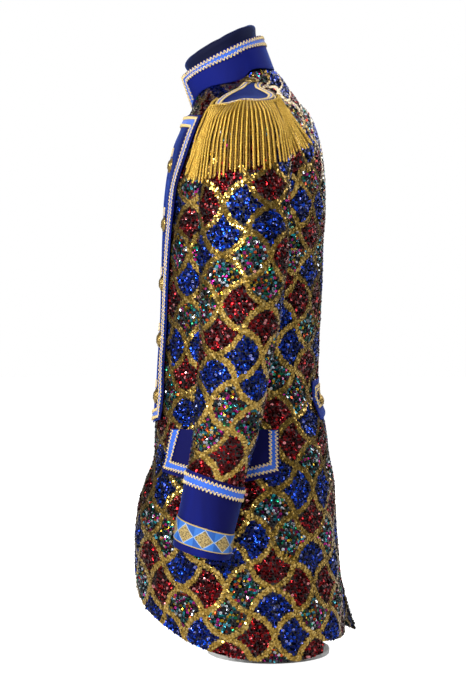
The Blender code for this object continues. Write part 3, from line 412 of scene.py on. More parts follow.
def cloth_shell(name, points, normals, near, far, material, wrap=False, mirror=False, cut=None):
    """A thin closed wall over a grid of points, with a UV map in metres of cloth."""
    rows, columns = points.shape[:2]
    inner, outer = points + normals * near, points + normals * far
    verts = np.concatenate((inner.reshape(-1, 3), outer.reshape(-1, 3)))
    step = rows * columns
    last = columns if wrap else columns - 1
    faces = []
    for i in range(rows - 1):
        for j in range(last):
            k = (j + 1) % columns
            a, b, c, d = i * columns + j, i * columns + k, (i + 1) * columns + k, (i + 1) * columns + j
            faces.append((a + step, b + step, c + step, d + step))
            faces.append((a, d, c, b))
    for j in range(last):
        k = (j + 1) % columns
        faces.append((j, k, k + step, j + step))
        top = (rows - 1) * columns
        faces.append((top + j, top + j + step, top + k + step, top + k))
    if not wrap:
        for i in range(rows - 1):
            a, d = i * columns, (i + 1) * columns
            faces.append((a, a + step, d + step, d))
            faces.append((a + columns - 1, d + columns - 1, d + columns - 1 + step, a + columns - 1 + step))
    piece = mesh_piece(name, verts, faces, material, mirror)
    if cut is not None:
        layer = piece.data.uv_layers.new(name="cut")
        flat = np.concatenate((cut.reshape(-1, 2), cut.reshape(-1, 2)))
        index = np.empty(len(piece.data.loops), int)
        piece.data.loops.foreach_get("vertex_index", index)
        layer.data.foreach_set("uv", flat[index].ravel())
    piece.data.set_sharp_from_angle(angle=radians(50))
    return piece


def run_of(line):
    """How far each point of a line lies along it."""
    return np.concatenate(([0], np.cumsum(np.linalg.norm(np.diff(line, axis=0), axis=1))))


def read_at(line, run, at):
    """A line's points at distances along it."""
    return np.stack([np.interp(at, run, line[:, c]) for c in range(3)], 1)


def between(table, i, j):
    """A table read between its rows and columns."""
    a = np.minimum(np.asarray(i).astype(int), table.shape[0] - 2)
    b = np.minimum(np.asarray(j).astype(int), table.shape[1] - 2)
    f, g = i - a, j - b
    if table.ndim == 3:
        f, g = np.expand_dims(f, -1), np.expand_dims(g, -1)
    return ((table[a, b] * (1 - g) + table[a, b + 1] * g) * (1 - f)
            + (table[a + 1, b] * (1 - g) + table[a + 1, b + 1] * g) * f)


def height_on_cloth(points, climb_from):
    """Each point's height, or its own way up a slope from a row on."""
    up = points[:, :, 2].copy()
    steps = np.linalg.norm(np.diff(points, axis=0), axis=2)
    for i in range(climb_from, len(points)):
        up[i] = up[i - 1] + steps[i - 1]
    return up


def round_the_tube(points, zero):
    """How far each point lies round its row, from the column that the pattern starts at."""
    along = np.zeros(points.shape[:2])
    along[:, 1:] = np.cumsum(np.linalg.norm(np.diff(points, axis=1), axis=2), axis=1)
    return along - along[:, zero:zero + 1]


# The level way round half the coat, from its side line: a row each 10 mm of height, a column each 2 degrees.
GIRTHS = round_the_tube(
    np.array([[tuple(coat(turn, z / 100))[:2] for turn in range(0, 181, 2)] for z in range(88)]), 45)


def girth(turn, z):
    """How far places lie round the coat, level, from its side line."""
    return between(GIRTHS, np.clip(np.asarray(z) * 100, 0, 86.99), np.clip(np.asarray(turn) / 2, 0, 89.99))


CELL_WIDE, CELL_TALL = 0.066, 0.067     # the pattern's cells, from point to point
BAND_HALF = 0.0039      # half width of a gold band
BAND_GAP = 0.0006       # bare net beside it
WAVE = 0.135            # how far a band swings, in cells
LATTICE_STEP = 1 / sqrt(CELL_WIDE ** -2 + CELL_TALL ** -2)
COAT_CHART = (2, 0, 2, 2, 1, 0)     # by column of cells: where the blue, mixed, red order starts
SLEEVE_CHART = (0, 1, 1, 0, 0, 2)


def lattice(s, t, chart):
    """Distance to the nearest gold band, and the cell's number: 0 blue, 1 mixed, 2 red."""
    a, b = s / CELL_WIDE + t / CELL_TALL, s / CELL_WIDE - t / CELL_TALL
    waved_a, waved_b = a + WAVE * np.sin(pi * b), b + WAVE * np.sin(pi * a)
    off = np.minimum(np.abs(waved_a - np.round(waved_a)), np.abs(waved_b - np.round(waved_b))) * LATTICE_STEP
    m, n = np.floor(waved_b).astype(int), (-np.ceil(waved_a)).astype(int)
    return off, (n + np.array(chart)[(m - n) % len(chart)]) % 3


BLUE_SEQUINS = ((0.0, 0.010, 0.17), (0.0, 0.030, 0.38), (0.0, 0.004, 0.07), (0.003, 0.06, 0.60))
RED_SEQUINS = ((0.16, 0.0, 0.003), (0.36, 0.002, 0.005), (0.05, 0.0, 0.001), (0.09, 0.0, 0.002))
MIXED_SEQUINS = ((0.0, 0.22, 0.25), (0.0, 0.16, 0.06), (0.50, 0.01, 0.25), (0.55, 0.33, 0.01), (0.50, 0.06, 0.01),
                 (0.60, 0.64, 0.7), (0.02, 0.02, 0.025), (0.015, 0.02, 0.025), (0.01, 0.01, 0.015), (0.05, 0.3, 0.4))
GOLD_SEQUINS = ((0.46, 0.29, 0.06), (0.38, 0.23, 0.04), (0.58, 0.40, 0.12), (0.27, 0.16, 0.025))
PITCH, SEQUIN = 0.0036, 0.0023          # between the cells' sequins, and their radius
GOLD_PITCH, GOLD_SEQUIN = 0.0023, 0.0017        # the gold ones are smaller and lie flat, close together
TILT, GOLD_TILT = 0.30, 0.10
PAINTED_GLINT_SHARE = 0.03           # share of sequins in a cell tinted nearly white in the cell's hue: painted glints


class Paint:
    """A node material in the making. Values that are sockets get linked, and the others are set."""

    def __init__(self, name):
        self.material = bpy.data.materials.new(name)
        self.material.use_nodes = True
        self.tree = self.material.node_tree

    def feed(self, node, values):
        for label, value in values.items():
            socket = node.inputs[label]
            if isinstance(value, bpy.types.NodeSocket):
                self.tree.links.new(value, socket)
            else:
                socket.default_value = (*value, 1) if socket.type == "RGBA" else value
        return node.outputs

    def add(self, kind, values=None, **modes):
        """A node with its modes and inputs set. Gives its outputs."""
        node = self.tree.nodes.new("ShaderNode" + kind)
        for label, value in modes.items():
            setattr(node, label, value)
        return self.feed(node, values or {})

    def maths(self, kind, *values):
        return self.add("Math", dict(enumerate(values)), operation=kind)[0]

    def mixed(self, share, a, b):
        return self.add("Mix", {"Factor": share, "A": a, "B": b}, data_type="RGBA")["Result"]

    def ramp(self, share, *stops):
        """A colour for each share, from two stops of a position and a colour."""
        node = self.tree.nodes.new("ShaderNodeValToRGB")
        for element, (position, colour) in zip(node.color_ramp.elements, stops):
            element.position = position
            element.color = (*colour, 1)
        return self.feed(node, {0: share})[0]

    def finish(self, settings, height=None, depth=0.0, strength=1.0, invert=False):
        """Sets the surface, with a bump where a height is given, and gives the material."""
        shader = self.tree.nodes["Principled BSDF"]
        self.feed(shader, settings)
        if height:
            bump = self.add("Bump", {"Height": height, "Distance": depth, "Strength": strength}, invert=invert)
            self.feed(shader, {"Normal": bump[0]})
        return self.material


def sequin_material():
    """Foil, each sequin in its own tint."""
    paint = Paint("sequin_foil")
    tint = paint.add("Attribute", attribute_name="tint")["Color"]
    return paint.finish({"Base Color": tint, "Metallic": 0.92, "Roughness": 0.19,
                         "Coat Weight": 0.12, "Coat Roughness": 0.12})


def net_material():
    """Black net that the sequins are sewn to, with gold thread where the bands run, as lattice() has them."""
    paint = Paint("black_net")
    place = paint.add("UVMap", uv_map="cut")[0]
    split = paint.add("SeparateXYZ", {0: place})
    s, t = paint.maths("DIVIDE", split[0], CELL_WIDE), paint.maths("DIVIDE", split[1], CELL_TALL)
    a, b = paint.maths("ADD", s, t), paint.maths("SUBTRACT", s, t)
    off = []
    for one, other in ((a, b), (b, a)):
        wave = paint.maths("MULTIPLY", paint.maths("SINE", paint.maths("MULTIPLY", other, pi)), WAVE)
        waved = paint.maths("ADD", one, wave)
        off.append(paint.maths("ABSOLUTE", paint.maths("SUBTRACT", waved, paint.maths("ROUND", waved))))
    band = paint.maths("LESS_THAN", paint.maths("MINIMUM", *off), BAND_HALF / LATTICE_STEP)
    weave = paint.add("TexVoronoi", {"Vector": place, "Scale": 700})["Distance"]
    thread = paint.ramp(weave, (0, (0.004, 0.0035, 0.004)), (1, (0.012, 0.010, 0.010)))
    colour = paint.mixed(band, thread, (0.16, 0.095, 0.018))
    return paint.finish({"Base Color": colour, "Roughness": 0.7}, weave, 0.0003)


FOIL = sequin_material()
NET = net_material()


def scattered(points, pitch, blocks, rng):
    """Places on a cloth's grid in rows at a pitch, a little out of line."""
    spots = []
    for i0 in range(0, points.shape[0] - blocks, blocks):
        for j0 in range(0, points.shape[1] - blocks, blocks):
            i1, j1 = i0 + blocks, j0 + blocks
            wide = (np.linalg.norm(points[i0, j1] - points[i0, j0])
                    + np.linalg.norm(points[i1, j1] - points[i1, j0])) / 2
            tall = (np.linalg.norm(points[i1, j0] - points[i0, j0])
                    + np.linalg.norm(points[i1, j1] - points[i0, j1])) / 2
            n, m = max(1, round(wide / pitch)), max(1, round(tall / pitch))
            v, u = np.meshgrid(np.arange(m), np.arange(n), indexing="ij")
            u = (u + 0.25 + 0.5 * (v % 2) + rng.uniform(-0.26, 0.26, u.shape)) / n
            v = (v + 0.5 + rng.uniform(-0.26, 0.26, u.shape)) / m
            spots.append(np.stack((i0 + np.clip(v, 0, 1).ravel() * blocks, j0 + np.clip(u, 0, 1).ravel() * blocks)))
    return np.concatenate(spots, axis=1)


def sow(name, points, normals, cut, offset, chart, blocks, keep, mirror, seed):
    """Sequins all over a cloth: cupped and tilted ones in the cells, flat gold ones along the bands."""
    rng = np.random.default_rng(seed)
    verts, tints, rims = [], [], []
    for gold, pitch, radius, tilt, sides in ((False, PITCH, SEQUIN, TILT, 5),
                                            (True, GOLD_PITCH, GOLD_SEQUIN, GOLD_TILT, 6)):
        spots = scattered(points, pitch, blocks, rng)
        place, normal, flat = [between(grid, *spots) for grid in (points, normals, cut)]
        off, cell = lattice(flat[:, 0] - offset[0], flat[:, 1] - offset[1], chart)
        kept = (off < BAND_HALF if gold else off > BAND_HALF + BAND_GAP) & keep(place)
        place, normal, cell = place[kept], normal[kept], cell[kept]
        count = len(place)
        if gold:
            tint = np.array(GOLD_SEQUINS)[rng.integers(0, len(GOLD_SEQUINS), count)]
            tint *= rng.uniform(0.8, 1.25, (count, 1))
        else:
            tint = np.zeros((count, 3))
            for number, palette in ((0, BLUE_SEQUINS), (1, MIXED_SEQUINS), (2, RED_SEQUINS)):
                pick = np.array(palette)[rng.integers(0, len(palette), count)]
                tint = np.where((cell == number)[:, None], pick, tint)
            tint *= np.clip(np.exp(rng.normal(-0.22, 0.55, (count, 1))), 0.2, 1.8)
            # A few sequins get a near-white tint of their cell's hue: painted glints.
            glint = rng.uniform(0, 1, (count, 1)) < PAINTED_GLINT_SHARE
            tint = np.where(glint, 0.30 + 0.6 * tint / tint.max(axis=1, keepdims=True), tint)
        one = np.cross((0.0, 0.0, 1.0), normal)
        one /= np.maximum(np.linalg.norm(one, axis=1, keepdims=True), 1e-9)
        two = np.cross(normal, one)
        face = normal + one * rng.normal(0, 1, (count, 1)) * tilt + two * (rng.normal(0, 1, (count, 1)) * tilt - 0.08)
        face /= np.linalg.norm(face, axis=1, keepdims=True)
        one = np.cross(two, face)
        one /= np.linalg.norm(one, axis=1, keepdims=True)
        two = np.cross(face, one)
        wide = radius * rng.uniform(0.85, 1.08, (count, 1))
        middle = place + normal * rng.uniform(0.0006, 0.0013, (count, 1))
        turn = rng.uniform(0, 2 * pi / sides, (count, 1))
        turns = [turn + 2 * pi * k / sides for k in range(sides)]
        ring = [middle + (one * np.cos(a) + two * np.sin(a)) * wide for a in turns]
        shade = np.ones((count, sides + 1, 4))
        shade[:, :, :3] = tint[:, None]
        base = sum(len(group) for group in verts)
        if gold:
            verts.append(np.stack(ring, 1).reshape(-1, 3))
            tints.append(shade[:, 1:].reshape(-1, 4))
            corners = base + np.arange(count * sides).reshape(-1, sides)
        else:
            shade[:, 0, :3] *= 0.2
            verts.append(np.stack([middle - face * wide * 0.16] + ring, 1).reshape(-1, 3))
            tints.append(shade.reshape(-1, 4))
            fan = np.array([(0, k + 1, (k + 1) % sides + 1) for k in range(sides)])
            corners = base + (fan[None] + (np.arange(count) * (sides + 1))[:, None, None]).reshape(-1, 3)
        rims.append(corners[:, ::-1] if mirror else corners)
    verts = np.concatenate(verts)
    if mirror:
        verts[:, 0] *= -1
    verts[:, 1] += MIDDLE_Y
    mesh = bpy.data.meshes.new(name)
    mesh.vertices.add(len(verts))
    mesh.vertices.foreach_set("co", verts.ravel())
    loops = np.concatenate([rim.ravel() for rim in rims])
    mesh.loops.add(len(loops))
    mesh.loops.foreach_set("vertex_index", loops)
    sizes = np.concatenate([np.full(len(rim), rim.shape[1]) for rim in rims])
    mesh.polygons.add(len(sizes))
    mesh.polygons.foreach_set("loop_start", np.concatenate(([0], np.cumsum(sizes)[:-1])))
    mesh.update(calc_edges=True)
    layer = mesh.color_attributes.new("tint", "FLOAT_COLOR", "POINT")
    layer.data.foreach_set("color", np.concatenate(tints).ravel())
    mesh.materials.append(FOIL)
    return linked(name, mesh)


def sewn(piece, slot, *nodes):
    """Hands a piece to the part: it rides on the one body and may stand for solids."""
    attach(piece, "root")
    if nodes:
        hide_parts(*nodes)


BIB = (         # height, half width
    (0.790, 0.151), (0.768, 0.152), (0.745, 0.156), (0.726, 0.153), (0.706, 0.145), (0.690, 0.134),
    (0.674, 0.1225), (0.656, 0.1135), (0.635, 0.106), (0.612, 0.099), (0.580, 0.091), (0.538, 0.0835),
    (0.500, 0.080), (0.453, 0.078), (0.415, 0.0785), (0.380, 0.083), (0.360, 0.084), (0.343, 0.080),
)
BIB_TOP = 0.785         # at the centre
BIB_CORNER = 0.769      # and at its upper corners
BIB_SIDE = 0.343


def under_trim(place):
    """Leaves sequins out under the bib, the flap and the half belt, where they don't show."""
    x, y, z = place.T
    bib_half = np.interp(z, [row[0] for row in reversed(BIB)], [row[1] for row in reversed(BIB)])
    bib_top = BIB_TOP - (BIB_TOP - BIB_CORNER) * np.minimum(np.abs(x) / bib_half, 1)
    bib = (np.abs(x) < bib_half - 0.004) & (y < 0) & (z > BIB_SIDE + 0.002) & (z < bib_top - 0.003)
    lean = np.interp(z, (0.262, 0.3315), (0, 1))
    flap = (y > -0.093 + 0.012 * lean) & (y < 0.060) & (z > 0.272) & (z < 0.328) & (x > 0.1)
    belt = (y > 0.09) & (x < 0.075) & (z > 0.360) & (z < 0.395)
    return ~(bib | flap | belt)


def flick_inside(place):
    """Sequins on the wrong side of the vent's corner, where it turns out."""
    return (place[:, 2] < 0.150) & (place[:, 0] < 0.050)


SIDES = (("left", False), ("right", True))      # and whether it mirrors the tables
NET_NEAR, NET_FAR = -0.0016, -0.0004    # the net's two faces, from the coat's outer face
TURNED_BACK = 0.0018                    # to its wrong side
FINE = 4                # parts of each step of the tables' grid
# Where the pattern's bands cross on the skirt, half a cell forward of a place that shows in the photo.
COAT_START = (float(girth(turn_at(0.0228, 0.2132), 0.2132)) - CELL_WIDE / 2, 0.2467)
for side, mirror in SIDES:
    for part, places, surface in (("front", front_places(), coat),
                                  ("back", back_places(), flicked if mirror else coat)):
        name = f"coat_{part}_{side}"
        grid = finer(places, FINE)
        points = points_of(surface, grid)
        normals = normals_of(points) * (1 if part == "front" else -1)
        round_it = girth(*np.moveaxis(np.array(grid, float), 2, 0))
        cut = np.stack((round_it, height_on_cloth(points, (LOW_ROWS + len(LEVELS)) * FINE + 1)), 2)
        shell = cloth_shell(name + "_net", points, normals, NET_NEAR, NET_FAR, NET, mirror=mirror,
                            cut=cut - np.array(COAT_START))
        if part == "back":
            shell.data.flip_normals()
        sewn(shell, "sequins", name)
        sequins = [sow(name + "_sequins", points, normals, cut, COAT_START, COAT_CHART, FINE, under_trim, mirror,
                       seed=11 if mirror else 12)]
        if part == "back" and mirror:
            wrong_side = points - normals * TURNED_BACK
            sequins.append(sow(name + "_turnback", wrong_side, -normals, cut, COAT_START, COAT_CHART, FINE,
                               flick_inside, mirror, seed=13))
        for layer in sequins:
            sewn(layer, "sequins")

# Sleeves: one tube each of the same cloth, set high on the shoulder and let into the cuff. The arm hangs
# with a slight bend, and soft creases lie in the bend and under the arm.
SLEEVE = (      # outer X and Z, inner X and Z, middle Y, half depth; from the cuff up to the shoulder
    (0.2615, 0.262, 0.1905, 0.262, -0.0235, 0.0375),
    (0.2640, 0.296, 0.1900, 0.296, -0.0178, 0.0395),
    (0.2680, 0.321, 0.1900, 0.321, -0.0112, 0.0432),
    (0.2750, 0.360, 0.1905, 0.360, -0.0050, 0.0470),
    (0.2800, 0.405, 0.1920, 0.405, -0.0005, 0.0485),
    (0.2840, 0.466, 0.1930, 0.466, 0.0080, 0.0535),
    (0.2860, 0.520, 0.1930, 0.520, 0.0112, 0.0568),
    (0.2850, 0.575, 0.1920, 0.570, 0.0145, 0.0605),
    (0.2820, 0.630, 0.1900, 0.604, 0.0152, 0.0610),
    (0.2760, 0.680, 0.1875, 0.622, 0.0158, 0.0612),
    (0.2630, 0.722, 0.1845, 0.634, 0.0165, 0.0618),
    (0.2420, 0.757, 0.1810, 0.643, 0.0172, 0.0620),
    (0.2150, 0.778, 0.1770, 0.650, 0.0178, 0.0615),
)
SLEEVE_POWER = 2.15
SLEEVE_OFF = 0.0015     # its end over the coat at the armhole
SLEEVE_IN_CUFF = 2.62   # level of the cuff where it is sewn in
SLEEVE_CREASES = (      # ring, turn, depth, half height in rings, half width in degrees, slant
    (4.6, -95, -0.0022, 0.28, 38, 0.30), (5.3, -80, -0.0018, 0.22, 34, -0.25), (3.9, -70, -0.0016, 0.25, 30, 0.35),
    (6.4, -105, -0.0015, 0.24, 30, 0.20), (4.9, 95, -0.0015, 0.30, 36, 0.25), (2.4, 80, -0.0014, 0.26, 34, -0.30),
    (7.6, 100, -0.0018, 0.30, 34, 0.35), (2.9, -60, 0.0012, 0.22, 30, 0.20),
)
CUFF_X = 0.2255
CUFF = (        # middle Y, Z, half depth, half width, slope and outward lean of the ring; bottom up
    (-0.0429, 0.1700, 0.0394, 0.0385, -0.24, -0.15),
    (-0.0384, 0.1980, 0.0392, 0.0388, -0.30, -0.10),
    (-0.0300, 0.2340, 0.0393, 0.0392, -0.33, -0.05),
    (-0.0238, 0.2690, 0.0394, 0.0396, -0.34, 0.00),
)


def cuff(turn, level):
    """Turn is 0 outside, 90 at the back. Level counts the table's rows from the bottom up."""
    a = radians(turn)
    rows = [(i, *row) for i, row in enumerate(CUFF)]
    y, z, deep, wide, slope, lean = (smooth(rows, level, c) for c in range(1, 7))
    dx, dy = wide * bent(cos(a), 2.2), deep * bent(sin(a), 2.2)
    return Vector((CUFF_X + dx, y + dy, z + dy * slope + dx * lean))


def sleeve(turn, ring):
    """Turn is 0 outside, 90 at the back. Ring counts the table's rows from the cuff up."""
    a = radians(turn)
    rows = [(i, *row) for i, row in enumerate(SLEEVE)]
    top = len(SLEEVE) - 1
    xo, zo, xi, zi, y, half = (smooth(rows, min(ring, top), c) for c in range(1, 7))
    c, s = bent(cos(a), SLEEVE_POWER), bent(sin(a), SLEEVE_POWER)
    p = Vector(((xo + xi) / 2 + (xo - xi) / 2 * c, y + half * s, (zo + zi) / 2 + (zo - zi) / 2 * c))
    if ring < 2:
        level = min(SLEEVE_IN_CUFF + (3 - SLEEVE_IN_CUFF) * ring, 3)
        p = lifted(cuff, turn, level, -0.0024, ev=0.02).lerp(p, max(ring - 1, 0))
    if ring > top:
        place = armhole(atan2(abs(sin(a)), -cos(a)) / pi, sin(a) < 0)
        q = lifted(coat, place[0], place[1], SLEEVE_OFF)
        q += Vector((0, 0.0012 * s, 0.0012 * c))
        p = p.lerp(q, min(ring - top, 1.2))
    fold = 0.0
    for at, place, depth, tall, wide, slant in SLEEVE_CREASES:
        off = (turn - place) / wide
        fold += depth * exp(-((ring - at - slant * off) / tall) ** 2 - off * off)
    return p + Vector((c, s, 0)) * fold


def around(count):
    """Even turns round a tube, with the first place again at the end."""
    return [-180 + 360 * k / count for k in range(count + 1)]


SLEEVE_START = (-0.029, 0.6366)     # where the pattern's bands cross on the upper arm


def under_epaulette(place):
    """Leaves out sequins where the board covers the sleeve's head."""
    return ~((place[:, 2] > 0.760) & (place[:, 0] < 0.218))


for side, mirror in SIDES:
    name = "sleeve_" + side
    rings = np.array([[(u, v) for u in around(48)] for v in np.linspace(0, len(SLEEVE), 79)])
    points = points_of(sleeve, rings)
    normals = normals_of(points)
    cut = np.stack((round_the_tube(points, 24), height_on_cloth(points, 66)), 2)
    shell = cloth_shell(name + "_net", points[:, :-1], normals[:, :-1], NET_NEAR, NET_FAR, NET, True, mirror,
                        cut[:, :-1] - np.array(SLEEVE_START))
    sewn(shell, "sequins", name)
    sequins = sow(name + "_sequins", points, normals, cut, SLEEVE_START, SLEEVE_CHART, 6, under_epaulette,
                  mirror, seed=21 if mirror else 22)
    sewn(sequins, "sequins")

# Cuffs: deep blue velvet tubes with a light-blue braid round the slanted top edge and a woven ribbon of gold
# lozenges near the hand. The braid is a flat ribbon with a gold cord looped along both its edges.


def velvet_material(name, dark, light):
    """Pile cloth: soft upright streaks of darker and lighter blue at random, painted sheen for the light on brushed
    nap and soft folds.
    """
    paint = Paint(name)
    place = paint.add("TexCoord")["Object"]
    stretch = paint.add("Mapping", {0: place, "Scale": (1.0, 1.0, 0.45)})[0]
    # Upright noise streaks that lighten the blue here and there: painted sheen of the nap and of soft folds.
    painted_sheen_streaks = paint.add("TexNoise", {"Vector": stretch, "Scale": 9.0, "Detail": 3, "Distortion": 0.6})[0]
    pile = paint.add("TexNoise", {"Vector": place, "Scale": 1400, "Detail": 2})[0]
    shade = paint.ramp(painted_sheen_streaks, (0.42, dark), (0.72, light))
    return paint.finish({"Base Color": shade, "Roughness": 0.75, "Specular IOR Level": 0.15, "Sheen Weight": 0.35,
                         "Sheen Roughness": 0.35, "Sheen Tint": (0.10, 0.25, 1.0)}, pile, 0.0003, 0.6)


def ribbed_material():
    """Light-blue ribbon with fine ribs across it."""
    paint = Paint("light_blue_ribbon")
    place = paint.add("UVMap", uv_map="cut")[0]
    ribs = paint.add("TexWave", {"Vector": place, "Scale": 190, "Distortion": 1.5})["Fac"]
    shade = paint.ramp(ribs, (0, (0.003, 0.06, 0.48)), (1, (0.015, 0.15, 0.72)))
    return paint.finish({"Base Color": shade, "Roughness": 0.5, "Sheen Weight": 0.2}, ribs, 0.0002)


def cord_material(name, dark, light, metal, rough):
    """Gold thread wound on cord: fine windings and slight changes of colour."""
    paint = Paint(name)
    wound = paint.add("TexNoise", {"Vector": paint.add("TexCoord")["Object"], "Scale": 900})[0]
    shade = paint.ramp(wound, (0.35, dark), (0.65, light))
    return paint.finish({"Base Color": shade, "Metallic": metal, "Roughness": rough}, wound, 0.0002)


VELVET = velvet_material("royal_velvet", (0.0003, 0.0008, 0.060), (0.0015, 0.010, 0.20))
RIBBON = ribbed_material()
GOLD_THREAD = cord_material("gold_thread", (0.62, 0.43, 0.15), (0.92, 0.72, 0.35), 0.10, 0.42)


def tubes(paths, frames, radius, sides, closed=False):
    """Round cords along paths; frames gives each point's way up. Returns points and faces."""
    verts, faces, base = [], [], 0
    for path, up in zip(paths, frames):
        count = len(path)
        if closed:
            along = np.roll(path, -1, axis=0) - np.roll(path, 1, axis=0)
        else:
            along = np.gradient(path, axis=0)
        along /= np.maximum(np.linalg.norm(along, axis=1, keepdims=True), 1e-9)
        beside = np.cross(along, up)
        beside /= np.maximum(np.linalg.norm(beside, axis=1, keepdims=True), 1e-9)
        above = np.cross(beside, along)
        angles = 2 * pi * np.arange(sides) / sides
        ring = (path[:, None] + radius * (np.cos(angles)[None, :, None] * beside[:, None]
                                          + np.sin(angles)[None, :, None] * above[:, None]))
        verts.append(ring.reshape(-1, 3))
        last = count if closed else count - 1
        for i in range(last):
            n = (i + 1) % count
            for k in range(sides):
                m = (k + 1) % sides
                faces.append((base + i * sides + k, base + n * sides + k, base + n * sides + m, base + i * sides + m))
        if not closed:
            faces.append(tuple(base + k for k in range(sides)))
            faces.append(tuple(base + (count - 1) * sides + k for k in reversed(range(sides))))
        base += count * sides
    return np.concatenate(verts), faces


def turn_outwards(mesh):
    bm = bmesh.new()
    bm.from_mesh(mesh)
    bmesh.ops.recalc_face_normals(bm, faces=bm.faces)
    bm.to_mesh(mesh)
    bm.free()


def corded(name, paths, frames, radius, sides, material, closed=False, mirror=False):
    """Cords along paths as one piece, with their faces turned outwards."""
    verts, faces = tubes(paths, frames, radius, sides, closed)
    piece = mesh_piece(name, verts, faces, material, mirror)
    turn_outwards(piece.data)
    return piece


def face_along(piece, points, normals):
    """Turns a shell's faces over where its grid runs against its normals."""
    if np.dot(np.cross(points[0, 1] - points[0, 0], points[1, 0] - points[0, 0]), normals[0, 0]) < 0:
        piece.data.flip_normals()


LOOP = 0.0055           # pitch of the gold cord's loops
RIBBON_THICK = 0.0008
BRAID_WIDE = 0.011      # of ribbon, between the cords


def dense(outer, inner, surface, closed, step=0.0022):
    """Two matching lines of places with more places between, a step or less apart."""
    if closed:
        outer, inner = outer + outer[:1], inner + inner[:1]
    lines = ([], [])
    for k in range(len(outer) - 1):
        a, b = Vector(surface(*outer[k])), Vector(surface(*outer[k + 1]))
        steps = max(1, round((b - a).length / step))
        for i in range(steps):
            for line, given in zip(lines, (outer, inner)):
                line.append([given[k][c] + (given[k + 1][c] - given[k][c]) * (i / steps) for c in (0, 1)])
    if not closed:
        lines[0].append(list(outer[-1]))
        lines[1].append(list(inner[-1]))
    return lines


def braid(name, surface, outer, inner, out, node, closed=False, mirror=False, ev=0.0015, edge_cord=0.0008,
          sway=0.0021):
    """A ribbon between two lines of places on a surface, with a gold cord looped along both edges."""
    outer, inner = dense(outer, inner, surface, closed)
    points = np.array([[tuple(lifted(surface, p[0] + (q[0] - p[0]) * share, p[1] + (q[1] - p[1]) * share, out, ev=ev))
                        for p, q in zip(outer, inner)] for share in (0.0, 0.5, 1.0)])
    top = np.array([[tuple(lifted(surface, *p, out + 0.01, ev=ev)) for p in outer]])
    normal = np.repeat(top - points[:1], 3, axis=0)
    normal /= np.linalg.norm(normal, axis=2, keepdims=True)
    along = run_of(points[1])
    across = np.array([[0], [0.5], [1]]) * BRAID_WIDE
    cut = np.stack((np.repeat(along[None], 3, 0), np.repeat(across, len(along), 1)), 2)
    ribbon = cloth_shell(name, points, normal, 0.0, RIBBON_THICK, RIBBON, closed, mirror, cut)
    face_along(ribbon, points, normal)
    sewn(ribbon, "blue_braid", node)
    if closed:
        points, normal = [np.concatenate((grid, grid[:, :1]), axis=1) for grid in (points, normal)]
    paths, frames = [], []
    for edge, other in ((0, 2), (2, 0)):
        line = points[edge]
        run = run_of(line)
        turns = max(2, round(run[-1] / LOOP))
        at = np.linspace(0, run[-1], turns * 8 + 1)
        if closed:
            at = at[:-1]
        over = read_at(points[other] - line, run, at)
        over /= np.maximum(np.linalg.norm(over, axis=1, keepdims=True), 1e-9)
        up = read_at(normal[0], run, at)
        phase = 2 * pi * turns * at / run[-1]
        swing = np.array([cos(p) + 0.25 * cos(2 * p) for p in phase])
        paths.append(read_at(line, run, at) + over * (0.0012 - sway * swing)[:, None]
                     + up * (RIBBON_THICK + 0.0003))
        frames.append(up)
    cord = corded(name + "_loops", paths, frames, edge_cord, 4, GOLD_THREAD, closed, mirror)
    sewn(cord, "blue_braid")


LOZENGE = 0.0274        # pitch of the woven ribbon's lozenges


def lozenge_material():
    """Woven ribbon: mottled gold lozenges point to point, light and mid blue between, thin gold edges."""
    paint = Paint("lozenge_ribbon")
    maths, mixed = paint.maths, paint.mixed
    place = paint.add("UVMap", uv_map="cut")[0]
    split = paint.add("SeparateXYZ", {0: place})
    along = maths("FRACT", maths("DIVIDE", split[0], LOZENGE))
    out = maths("MULTIPLY", maths("ABSOLUTE", maths("SUBTRACT", along, 0.5)), 2.0)
    up = maths("MULTIPLY", maths("ABSOLUTE", maths("SUBTRACT", split[1], 0.5)), 2.0)
    reach = maths("ADD", out, maths("MULTIPLY", up, 1.12))
    right, upper_half = maths("GREATER_THAN", along, 0.5), maths("GREATER_THAN", split[1], 0.5)
    same = maths("ABSOLUTE", maths("SUBTRACT", right, upper_half))
    flat = paint.add("Mapping", {0: place, "Scale": (1.0, 0.03, 1.0)})[0]      # the map's height is a share
    mottle = paint.add("TexNoise", {"Vector": flat, "Scale": 420, "Detail": 4})[0]
    gold = paint.ramp(mottle, (0.36, (0.055, 0.035, 0.012)), (0.56, (0.42, 0.30, 0.10)))
    colour = mixed(maths("LESS_THAN", reach, 0.93), mixed(same, (0.008, 0.085, 0.36), (0.025, 0.15, 0.52)), gold)
    edge_line = maths("LESS_THAN", maths("ABSOLUTE", maths("SUBTRACT", reach, 0.97)), 0.05)
    colour = mixed(edge_line, colour, (0.30, 0.42, 0.60))
    colour = mixed(maths("GREATER_THAN", up, 0.90), colour, (0.45, 0.31, 0.10))
    return paint.finish({"Base Color": colour, "Roughness": 0.5, "Metallic": 0.15}, mottle, 0.0002)


LOZENGES = lozenge_material()


VELVET_THICK = 0.0019


def applied(piece, kind, **settings):
    """Adds a modifier and applies it, smooth."""
    modifier = piece.modifiers.new("made", kind)
    for label, value in settings.items():
        setattr(modifier, label, value)
    bpy.ops.object.select_all(action="DESELECT")
    bpy.context.view_layer.objects.active = piece
    piece.select_set(True)
    bpy.ops.object.modifier_apply(modifier="made")
    piece.select_set(False)
    piece.data.shade_smooth()


def soft_edges(piece):
    """Rounds a shell's edges with a narrow bevel."""
    applied(piece, "BEVEL", width=0.0006, segments=2, limit_method="ANGLE", angle_limit=radians(50))
    piece.data.set_sharp_from_angle(angle=radians(70))


def soft_cuff(turn, level):
    """The cuff with the shallow dents of cloth over a wrist."""
    p = cuff(turn, level)
    a = radians(turn)
    dent = 0.0007 * sin(2 * a + 1.3 * level) + 0.0004 * sin(5 * a - 2.1 * level + 0.8)
    return p + Vector((cos(a), sin(a), 0)) * dent


